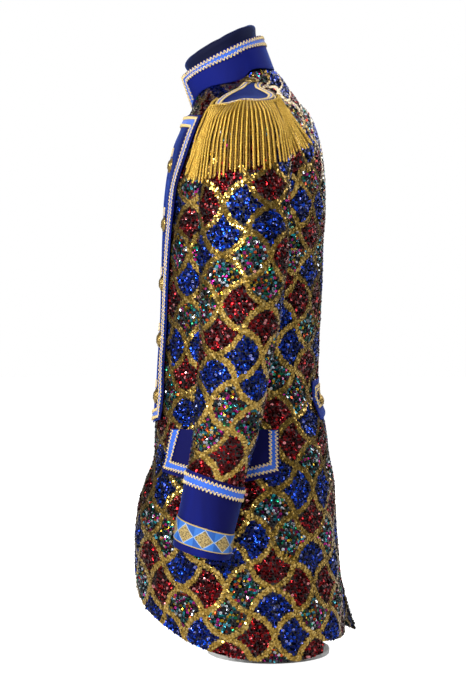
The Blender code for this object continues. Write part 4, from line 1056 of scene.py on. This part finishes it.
for side, mirror in SIDES:
    name = "cuff_" + side
    places = [[(u, v) for u in around(56)] for v in np.linspace(0, 3, 19)]
    points = points_of(soft_cuff, places)
    normals = normals_of(points)
    velvet = cloth_shell(name + "_velvet", points[:, :-1], normals[:, :-1], -VELVET_THICK, 0.0, VELVET, True, mirror)
    soft_edges(velvet)
    sewn(velvet, "blue_velvet", name)
    round_cuff = [-180 + 359.4 * k / 56 for k in range(57)]      # its ends meet at the inside of the wrist
    braid(f"cuff_braid_{side}_ribbon", soft_cuff, [(u, 2.86) for u in round_cuff], [(u, 2.50) for u in round_cuff],
          0.0003, "cuff_braid_" + side, False, mirror, ev=0.02)
    points = np.array([[tuple(lifted(soft_cuff, u, v, 0.0004, ev=0.02)) for u in around(56)]
                       for v in np.linspace(0.34, 1.25, 5)])
    middle = run_of(points[2])
    along = middle * (round(middle[-1] / LOZENGE) * LOZENGE / middle[-1])       # a whole number of lozenges
    cut = np.stack((np.repeat(along[None], 5, 0), np.repeat(np.linspace(0, 1, 5)[:, None], len(along), 1)), 2)
    ribbon = cloth_shell(f"cuff_ribbon_{side}_woven", points, normals_of(points), 0.0, RIBBON_THICK, LOZENGES, False,
                         mirror, cut)
    sewn(ribbon, "blue_braid", "cuff_ribbon_" + side)

# Stand collar: one band of velvet, open at the centre front, with braid along its top edge that turns down
# beside both front edges. It stands in the coat's neck seam.
COLLAR_TOP = (-0.0165, 0.8750, 0.0590, 0.0600, 0.507)      # middle Y, Z, half depth, half width, slope
COLLAR_OPEN = 5.0       # degrees of the oval left open at each side of the centre front


def collar(phi, level):
    """Phi goes from 0 at the centre front by the left side to 360. Level is 0 at the seam, 1 on top."""
    a = radians(phi)
    x, y = NECK_WIDE * sin(a), NECK_Y - NECK_DEEP * cos(a)
    low = Vector((x, y, height_at(x, y) + 0.0016))
    ty, tz, deep, wide, slope = COLLAR_TOP
    dy = -deep * cos(a)
    high = Vector((wide * sin(a), ty + dy, tz + dy * slope))
    return low.lerp(high, level)


def velvet_on(name, surface, places, near, far, node, mirror=False, ev=0.0015, fold=None):
    """A velvet wall over a grid of places on a surface, with its soft edge."""
    points, normals = [], []
    for row in places:
        line = [lifted(surface, u, v, 0, ev=ev) for u, v in row]
        ways = [(lifted(surface, u, v, 0.01, ev=ev) - p).normalized() for (u, v), p in zip(row, line)]
        points.append([tuple(p + way * (fold(u, v) if fold else 0.0)) for (u, v), p, way in zip(row, line, ways)])
        normals.append([tuple(way) for way in ways])
    points, normals = np.array(points), np.array(normals)
    piece = cloth_shell(name, points, normals, near, far, VELVET, False, mirror)
    face_along(piece, points, normals)
    soft_edges(piece)
    sewn(piece, "blue_velvet", node)


turns = spread(COLLAR_OPEN, 360 - COLLAR_OPEN, 91)
velvet_on("collar_velvet", collar, [[(u, v) for u in turns] for v in spread(0, 1, 13)], -VELVET_THICK, 0.0,
          "collar", ev=0.02)
far, near = COLLAR_OPEN + 4, COLLAR_OPEN + 15
top_turns = [u for u in turns if near < u < 360 - near]
outer = [(far, 0.08), (far, 0.94)] + [(u, 0.94) for u in top_turns] + [(360 - far, 0.94), (360 - far, 0.08)]
inner = [(near, 0.08), (near, 0.72)] + [(u, 0.72) for u in top_turns] + [(360 - near, 0.72), (360 - near, 0.08)]
braid("collar_braid_ribbon", collar, outer, inner, 0.0003, "collar_braid", ev=0.02)

# Bib: a broad velvet plastron over both fronts, wide on the chest and narrow at the waist, with braid all
# round. It is sewn down at its edges and its pile falls in long upright ripples.
BIB_POINT = 0.336       # its lower edge's lowest place, at the centre
BIB_BRAID_OUT = 0.0050  # the braid's and the tabs' underside, from the coat's face


def full(turn, z):
    """The coat's front on both sides, with a negative turn on the right."""
    p = coat(abs(turn), z)
    return p if turn >= 0 else Vector((-p.x, p.y, p.z))


def bib_turn(z, inset):
    """The turn of the bib's side edge, less an inset, at a height."""
    return turn_at_x(smooth(BIB, z, 1) - inset, z)


def bib_bottom(share):
    """The height of its lower edge, at a share of its half width."""
    return BIB_POINT + (BIB_SIDE - BIB_POINT) * abs(share)


def bib_top(share):
    """The height of its upper edge."""
    return BIB_TOP - (BIB_TOP - BIB_CORNER) * abs(share)


def ripple(turn, z):
    """Long upright ripples of the bib's cloth, strongest on the chest."""
    side = 1 if turn >= 0 else 1.3
    high = 0.5 + 0.5 * min(max((z - 0.40) / 0.25, 0), 1)
    wave = sin(radians(abs(turn) * 15 * side + 40 * sin(z * 9))) + 0.5 * sin(radians(abs(turn) * 33 + 60 * z + 20))
    return 0.0006 * high * wave


heights = [[(s, bib_bottom(s) + (bib_top(s) - bib_bottom(s)) * t) for s in spread(-1, 1, 73)]
           for t in spread(0, 1, 61)]
places = [[(bib_turn(z, 0) * share, z) for share, z in row] for row in heights]
velvet_on("bib_velvet", full, places, 0.0028, 0.0042, "bib",
          fold=ripple)


def frame_line(inset):
    """Places all round the bib, at an inset from its edge."""
    left = [(bib_turn(z, inset), z) for z in spread(BIB_CORNER - 0.012, BIB_SIDE + 0.014, 25)]
    left[0] = (bib_turn(BIB_CORNER - inset, inset), BIB_CORNER - inset)
    left[-1] = (bib_turn(BIB_SIDE + inset, inset), bib_bottom(1) + inset)
    low = [(bib_turn(BIB_SIDE, inset) * s, bib_bottom(s) + inset) for s in (0.57, 0.19, -0.19, -0.57)]
    right = [(-u, z) for u, z in reversed(left)]
    top = [(bib_turn(bib_top(s) - inset, inset) * s, bib_top(s) - inset) for s in spread(-1, 1, 15)[1:-1]]
    return left + low + right + top


braid("bib_braid_ribbon", full, frame_line(0.004), frame_line(0.015), BIB_BRAID_OUT, "bib_braid", True)

# Buttons: pressed domes with a roped rim, two rows on the bib, one on each epaulette and at each end of the
# half belt. They stay fastened. On the bib a short tab of the braid stands over each one.
BUTTONS = ((0.706, 0.086), (0.624, 0.062), (0.539, 0.052), (0.458, 0.046), (0.376, 0.050))  # height, half spacing


def brass_material():
    """Pressed gilt metal: bright on the raised parts, dull brown in the hollows."""
    paint = Paint("pressed_gilt")
    chased = paint.add("TexVoronoi", {"Vector": paint.add("TexCoord")["Object"], "Scale": 420})["Distance"]
    shade = paint.ramp(chased, (0.15, (0.72, 0.50, 0.17)), (0.75, (0.20, 0.12, 0.03)))
    return paint.finish({"Base Color": shade, "Metallic": 0.9, "Roughness": 0.33}, chased, 0.0004, invert=True)


GILT = brass_material()
DOME = (        # radius, height, both for a button of 11 mm radius
    (0.0, 0.0062), (0.0016, 0.0061), (0.0022, 0.0055), (0.0034, 0.0053), (0.0040, 0.0058), (0.0052, 0.0054),
    (0.0066, 0.0047), (0.0080, 0.0036), (0.0086, 0.0029), (0.0092, 0.0030), (0.0100, 0.0033), (0.0107, 0.0028),
    (0.0110, 0.0018), (0.0108, 0.0006), (0.0098, 0.0002), (0.0, 0.0002),
)
DOME_RADIUS = 0.011
ROUND = 36              # corners round a button


def button_axis(name, spots):
    """A CAD button's seat, way out and radius, from its corners."""
    heart = spots.mean(0)
    way = np.linalg.svd(spots - heart, full_matrices=False)[2][2]
    middle = (spots.max(0) + spots.min(0)) / 2
    outwards = np.array((middle[0], middle[1], 0.5 if "epaulette" in name else 0.0))
    if np.dot(way, outwards) < 0:
        way = -way
    depth = (spots - heart) @ way
    radius = float(np.linalg.norm((spots - heart) - depth[:, None] * way, axis=1).max())
    return heart + way * depth.min(), way, radius


for name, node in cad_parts.items():
    if not name.startswith("button_"):
        continue
    seat, normal, radius = button_axis(name, np.array([tuple(v.co) for v in node.data.vertices]))
    size = radius / DOME_RADIUS
    one = np.cross(normal, (0.0, 0.0, 1.0) if abs(normal[2]) < 0.9 else (0.0, 1.0, 0.0))
    one /= np.linalg.norm(one)
    two = np.cross(normal, one)
    verts = []
    for r, h in DOME:
        for k in range(ROUND if r else 1):
            a = 2 * pi * k / ROUND
            rope = 0.00025 * cos(12 * a) if 0.0095 < r < 0.0108 and h > 0.0025 else 0.0
            flower = 0.00035 * cos(8 * a) if 0.003 < r < 0.007 else 0.0
            verts.append(seat + (one * cos(a) + two * sin(a)) * r * size + normal * (h + rope + flower) * size)
    faces, last = [], len(verts) - 1 - ROUND
    for k in range(ROUND):
        m = (k + 1) % ROUND
        faces.append((0, 1 + k, 1 + m))
        faces += [(a + k, a + ROUND + k, a + ROUND + m, a + m) for a in range(1, last, ROUND)]
        faces.append((len(verts) - 1, last + m, last + k))
    mesh = bpy.data.meshes.new(name + "_gilt")
    mesh.from_pydata([tuple(p) for p in verts], [], faces)
    turn_outwards(mesh)
    mesh.materials.append(GILT)
    mesh.shade_smooth()
    sewn(linked(name + "_gilt", mesh), "gold_metal", name)

for number, (z, _) in enumerate(BUTTONS, 1):
    for side, sign in (("left", 1), ("right", -1)):
        points = np.array([[
            tuple(lifted(full, sign * turn_at_x(smooth(BUTTONS, h, 1) + across, h), h, BIB_BRAID_OUT))
            for h in spread(z + 0.0118, z + 0.0235, 5)] for across in spread(BRAID_WIDE / 2, -BRAID_WIDE / 2, 5)])
        normals = normals_of(points)
        if normals[2, 2, 1] > 0:
            normals = -normals
        cut = np.stack(np.meshgrid(np.linspace(0, 0.0117, 5), np.linspace(0, BRAID_WIDE, 5)), 2)
        ribbon = cloth_shell(f"bib_tab_{side}_{number}_ribbon", points, normals, 0.0, 0.0010, RIBBON, cut=cut)
        face_along(ribbon, points, normals)
        sewn(ribbon, "blue_braid", f"bib_tab_{side}_{number}")
        edges = [(0, slice(None)), (-1, slice(None)), (slice(None), -1)]
        cord = corded(f"bib_tab_{side}_{number}_cord", [points[e] + normals[e] * 0.0013 for e in edges],
                      [normals[e] for e in edges], 0.0007, 5, GOLD_THREAD)
        sewn(cord, "blue_braid")

# Pocket flaps: velvet, pointed below, braided on three sides and sewn on by their top edge.
FLAP_TOP = (0.3315, -0.085, 0.063)      # height, front and back Y
FLAP_LOW = (0.2690, -0.098, 0.064)
FLAP_POINT = 0.2520                     # height of the point below


def flap_line(inset_side, inset_low, share):
    """The flap's top and its lower edge at a share of its width, each as Y and height."""
    z_top, front_top, back_top = FLAP_TOP
    z_low, front_low, back_low = FLAP_LOW
    a, b = front_top + inset_side, back_top - inset_side
    c, d = front_low + inset_side, back_low - inset_side
    low_z = z_low - (z_low - FLAP_POINT) * (1 - abs(2 * share - 1)) + inset_low
    return (a + (b - a) * share, z_top), (c + (d - c) * share, low_z)


def flap_braid_line(side_inset, low_inset):
    """Places down the flap's front edge, along its lower edge and up its back edge."""
    points = []
    for share, order in ((0, (0.97, 0.5)), (1, (0.5, 0.97))):
        top, low = flap_line(side_inset, low_inset, share)
        points.append([(low[0] + (top[0] - low[0]) * t, low[1] + (top[1] - low[1]) * t) for t in order])
    points = points[0] + [flap_line(side_inset, low_inset, s)[1] for s in spread(0, 1, 17)] + points[1]
    return [(turn_at(y, z), z) for y, z in points]


for side, mirror in SIDES:
    edges = [flap_line(0, 0, share) for share in spread(0, 1, 33)]
    spots = [[(low[0] + (top[0] - low[0]) * t, low[1] + (top[1] - low[1]) * t) for top, low in edges]
             for t in spread(0, 1, 13)]
    places = [[(turn_at(y, z), z) for y, z in row] for row in spots]
    velvet_on(f"flap_{side}_velvet", coat, places, 0.0026, 0.0042, "flap_" + side,
              mirror=mirror)
    braid(f"flap_braid_{side}_ribbon", coat, flap_braid_line(0.0035, 0.0055), flap_braid_line(0.0135, 0.0155),
          0.0047, "flap_braid_" + side, mirror=mirror)

# Half belt: a velvet strap across the back waist, wider at its middle, with a braided square at each end.
BELT = (0.341, 0.398, 0.014, 0.007, 151.0)      # bottom and top at its ends, their rise at the middle, its end


def belt(turn, z):
    """The coat's back on both sides, with the belt's lower edge standing off a little."""
    other = turn > 180
    u = 360 - turn if other else turn
    p = lifted(coat, u, z, 0.005 * min(max((0.372 - z) / 0.03, 0), 1))
    return Vector((-p.x, p.y, p.z)) if other else p


def belt_place(share, level):
    """Share is 1 at the left end, 0 at the middle, -1 at the right end. Level is 0 below, 1 above."""
    low = BELT[0] + BELT[2] * (1 - abs(share))
    high = BELT[1] + BELT[3] * (1 - abs(share))
    return 180 - (180 - BELT[4]) * share, low + (high - low) * level


velvet_on("half_belt_velvet", belt, [[belt_place(s, t) for s in spread(1, -1, 49)] for t in spread(0, 1, 15)],
          0.0012, 0.0028, "half_belt")
for side, mirror in SIDES:
    frames = []
    for a, b, c, d in ((0.90, 0.36, 0.30, 0.84), (0.78, 0.48, 0.42, 0.72)):
        line = ((a, c), (a, (c + d) / 2), (a, d), ((a + b) / 2, d), (b, d), (b, (c + d) / 2), (b, c), ((a + b) / 2, c))
        frames.append([belt_place(share, level) for share, level in line])
    braid(f"belt_braid_{side}_ribbon", belt, frames[0], frames[1], 0.0032, "belt_braid_" + side, True, mirror)

# Epaulettes: stiff velvet boards that lie over the shoulders, narrow at the neck and round at the sleeve,
# with braid and a gold piping round their edge. Twisted bullion cords hang from the round end in two layers.
BOARD = ((0.000, 0.0095), (0.006, 0.0130), (0.030, 0.0145), (0.046, 0.0175), (0.058, 0.0270),
         (0.070, 0.0365), (0.084, 0.0420), (0.098, 0.0425), (0.110, 0.0375), (0.118, 0.0280),
         (0.123, 0.0150))        # distance out from the neck end, half width
BOARD_NECK, BOARD_END = Vector((0.103, 0.030, 0.824)), Vector((0.214, 0.012, 0.777))
OUT_WAY, ACROSS = (BOARD_END - BOARD_NECK).normalized(), Vector((0, 1, 0.33)).normalized()
UP = Vector((0.25, 0, 1)).normalized()
STRAND_LENGTH = (       # Y of the root, length
    (-0.040, 0.107), (-0.016, 0.107), (0.012, 0.101), (0.030, 0.095), (0.042, 0.088), (0.062, 0.080),
)
STRANDS = 46            # in each of the two layers
STRAND_CLEAR = 0.0060   # from the cloth, measured level
STRAND_OFF = 0.0042     # and to its nearest place
UNDER_IN = 0.0026       # the under layer lies this far inside the upper one
TWIST, PLY_SWING, PLY = 0.0078, 0.00108, 0.00088        # a strand's pitch, and its two plies' swing and radius


def solid_tree(name):
    """A solid of the part in the tables' places, for resting things on it."""
    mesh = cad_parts[name].data
    points = [v.co - Vector((0, MIDDLE_Y, 0)) for v in mesh.vertices]
    return BVHTree.FromPolygons(points, [tuple(f.vertices) for f in mesh.polygons])


board_solid = solid_tree("epaulette_left")
BOARD_ROWS, BOARD_COLUMNS = 42, 25
board_grid = np.zeros((BOARD_ROWS, BOARD_COLUMNS, 3))
for i, u in enumerate(spread(0, 0.123, BOARD_ROWS)):
    half = smooth(BOARD, u, 1)
    for j, share in enumerate(spread(-1, 1, BOARD_COLUMNS)):
        p = BOARD_NECK + OUT_WAY * u + ACROSS * half * share
        inside = min(max(u, 0.0010), 0.1218)        # the ray falls a little inside the edge
        q = BOARD_NECK + OUT_WAY * inside + ACROSS * smooth(BOARD, inside, 1) * min(max(share, -0.96), 0.96)
        hit = board_solid.ray_cast(Vector((q.x, q.y, 1.2)), Vector((0, 0, -1)))[0]
        board_grid[i, j] = (p.x, p.y, hit.z if hit else p.z)
for _ in range(5):
    z = np.pad(board_grid[:, :, 2], 1, mode="edge")
    board_grid[:, :, 2] = (z[1:-1, 1:-1] * 2 + z[:-2, 1:-1] + z[2:, 1:-1] + z[1:-1, :-2] + z[1:-1, 2:]) / 6


def board(millimetres, share):
    """The board's upper face: distance out from the neck end in millimetres, and share of the half width."""
    i = min(max(millimetres / 123 * (BOARD_ROWS - 1), 0), BOARD_ROWS - 1.001)
    j = min(max((share + 1) / 2 * (BOARD_COLUMNS - 1), 0), BOARD_COLUMNS - 1.001)
    return Vector(between(board_grid, i, j))


def board_edge(inset, count):
    """Places round the board's outer end, from its front side to its back side, and the way out there."""
    line = [(u, -1) for u in spread(0.070, 0.123, 20)] + [(0.123, s) for s in (-0.5, 0, 0.5)]
    line += [(u, 1) for u in spread(0.123, 0.070, 20)]
    points = np.array([tuple(board(u * 1000, s) - UP * 0.0035) for u, s in line])
    run = run_of(points)
    points = read_at(points, run, np.linspace(0, run[-1], count))
    heart = np.array(board(66, 0))
    ways = points - heart
    ways[:, 2] = 0
    ways /= np.linalg.norm(ways, axis=1, keepdims=True)
    return points - ways * inset, ways


shoulder = [solid_tree(name) for name in ("coat_front_left", "coat_back_left", "sleeve_left")]


def push(p, way):
    """How far out a strand has to move, level, to be clear of the coat and sleeve."""
    far = [0.0]
    side_way = way.cross(Vector((0, 0, 1))) * 0.0017
    for tree in shoulder:
        for start in (p - side_way, p, p + side_way):
            hit = tree.ray_cast(start + way * 0.20, -way, 0.20)[0]
            if hit:
                far.append((hit - p).dot(way) + STRAND_CLEAR)
    return max(far)


def spare(p):
    """The move that keeps a strand's middle line off the nearest cloth."""
    move = Vector((0, 0, 0))
    for tree in shoulder:
        near, _, _, gap = tree.find_nearest(p)
        if gap < STRAND_OFF:
            move += (p - near).normalized() * (STRAND_OFF - gap)
    return move


def strand_path(p, way, number):
    """Middle points of a strand, from its root down: it leans out and falls over the sleeve."""
    uneven = 1 + 0.035 * sin(number * 2.4) + 0.02 * sin(number * 5.1)
    long = smooth(STRAND_LENGTH, p.y, 1)
    lean = radians(7 + (30 if way.y > 0 else 16) * way.y * way.y)
    points = [p + way * 0.004]
    for fall in (0.14, 0.48, 1.0):
        q = p + way * (0.004 + sin(lean) * long * fall)
        q.z = p.z - cos(lean) * long * uneven * fall
        points.append(q)
    halves = [push((a + b) / 2, way) for a, b in zip(points, points[1:])] + [0.0]
    moved = [q + way * max(push(q, way), halves[k], halves[k + 1]) for k, q in enumerate(points[1:])]
    for _ in range(3):
        for k in (0, 1):
            shift = spare((moved[k] + moved[k + 1]) / 2)
            moved[k], moved[k + 1] = moved[k] + shift, moved[k + 1] + shift
        moved = [q + spare(q) for q in moved]
    return moved


def plies(path, way, twist, swing, phase):
    """Two cords wound round each other along a path, drawn together at its end."""
    run = run_of(path)
    along = np.gradient(path, axis=0)
    along /= np.linalg.norm(along, axis=1, keepdims=True)
    beside = np.cross(along, way)
    beside /= np.linalg.norm(beside, axis=1, keepdims=True)
    above = np.cross(beside, along)
    out = []
    for half in (0, pi):
        turn = (2 * pi * run / twist + half + phase)[:, None]
        wide = (swing * 0.9 * np.clip((run[-1] - run) / 0.003, 0.15, 1))[:, None]
        out.append(path + (beside * np.cos(turn) + above * np.sin(turn)) * wide)
    return out


BULLION = cord_material("bullion", (0.44, 0.22, 0.012), (0.95, 0.66, 0.13), 0.55, 0.30)
# The under layer's bullion is a darker copy of the same gold: painted shade where it hangs behind the upper layer.
SHADED_BULLION = cord_material("shaded_bullion", (0.10, 0.045, 0.003), (0.30, 0.17, 0.015), 0.40, 0.45)
edge_u = spread(0.006, 0.123, 40)
outer = [(u * 1000, -(1 - 0.0008 / smooth(BOARD, u, 1))) for u in edge_u]
inner = [(min(u, 0.1165) * 1000, -(1 - 0.0085 / smooth(BOARD, u, 1))) for u in edge_u]
outer += [(u, -s) for u, s in reversed(outer)]
inner += [(u, -s) for u, s in reversed(inner)]
roots, ways = board_edge(-0.0030, 2 * STRANDS + 1)
rng = np.random.default_rng(7)
for side, mirror in SIDES:
    velvet_on(f"epaulette_{side}_velvet", board, [[(u * 1000, s) for s in spread(-1, 1, 25)]
              for u in spread(0, 0.123, 42)], -0.0022, 0.0, "epaulette_" + side,
              mirror=mirror, ev=0.04)
    braid(f"epaulette_braid_{side}_ribbon", board, outer, inner, 0.0006, "epaulette_braid_" + side, False, mirror,
          ev=0.04, edge_cord=0.0005, sway=0.0014)
    line = np.array([tuple(lifted(board, u, s, 0.0010, ev=0.04)) for u, s in inner])
    piping = corded(f"epaulette_{side}_piping", [line], [np.tile(np.array(UP), (len(line), 1))], 0.0010, 8,
                    GOLD_THREAD, mirror=mirror)
    sewn(piping, "gold_cord")
    paths, frames = ([], []), ([], [])      # of the upper and the under layer
    for number in range(2 * STRANDS):
        layer = number % 2
        root, way = Vector(roots[number]), Vector(ways[number])
        knots = strand_path(root, way, number)
        knots = [root + way * 0.0042 + Vector((0, 0, 0.0016))] + [k - way * UNDER_IN * layer for k in knots]
        knots = np.array([tuple(k) for k in knots])
        sway = rng.normal(0, 0.0007, 3)[0]
        knots[2:] += np.outer((0.6, 1.0), np.cross(tuple(way), (0, 0, 1))) * sway
        run = run_of(knots)
        path = read_at(knots, run, np.linspace(0, run[-1] * (0.965 if layer else 1.0), 44 if layer else 64))
        for _ in range(14):
            path[1:-1] = (path[:-2] + 2 * path[1:-1] + path[2:]) / 4
        for ply in plies(path, np.array(way), TWIST, PLY_SWING, rng.uniform(0, 2 * pi)):
            paths[layer].append(ply)
            frames[layer].append(np.tile(np.array(way), (len(ply), 1)))
    heading = roots + ways * 0.0034 + np.array((0, 0, 0.0022))
    heading = read_at(heading, np.arange(len(heading)), np.linspace(0, len(heading) - 1, 260))
    for ply in plies(heading, np.array(UP), 0.0075, 0.0012, 0.0):
        paths[0].append(ply)
        frames[0].append(np.tile(np.array(UP), (len(ply), 1)))
    fringe = corded(f"fringe_{side}_bullion", paths[0], frames[0], PLY, 4, BULLION, mirror=mirror)
    sewn(fringe, "gold_cord", "fringe_" + side)
    under = corded(f"fringe_{side}_under_bullion", paths[1], frames[1], PLY, 4, SHADED_BULLION, mirror=mirror)
    sewn(under, "gold_cord")

# Dress form: a limbless torso with a domed neck block, covered in dark navy velvet. The coat rests on its
# shoulders. It is one padded body, made from the part's own solid with its facets smoothed.
cover = velvet_material("navy_cover", (0.0012, 0.0016, 0.012), (0.004, 0.007, 0.042))
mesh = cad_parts["form_torso"].data.copy()
mesh.name = "form_torso_cover"
mesh.materials.clear()
mesh.materials.append(cover)
bm = bmesh.new()
bm.from_mesh(mesh)
bmesh.ops.remove_doubles(bm, verts=bm.verts, dist=0.00002)
bmesh.ops.join_triangles(bm, faces=bm.faces, angle_face_threshold=radians(40), angle_shape_threshold=radians(40))
bm.to_mesh(mesh)
bm.free()
torso = linked("form_torso_cover", mesh)
applied(torso, "SUBSURF", levels=2, render_levels=2)
sewn(torso, "form_velvet", "form_torso")

# Stand: a turned steel column and an oval base plate, painted off-white. The skirt hides them.
paint = Paint("stand_enamel")
worn = paint.add("TexNoise", {"Vector": paint.add("TexCoord")["Object"], "Scale": 60})[0]
enamel = paint.finish({"Base Color": paint.ramp(worn, (0, (0.84, 0.84, 0.82)), (1, (0.93, 0.93, 0.91))),
                       "Roughness": 0.45})
for name in ("form_column", "form_base"):
    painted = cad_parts[name].data
    painted.materials.clear()
    painted.materials.append(enamel)
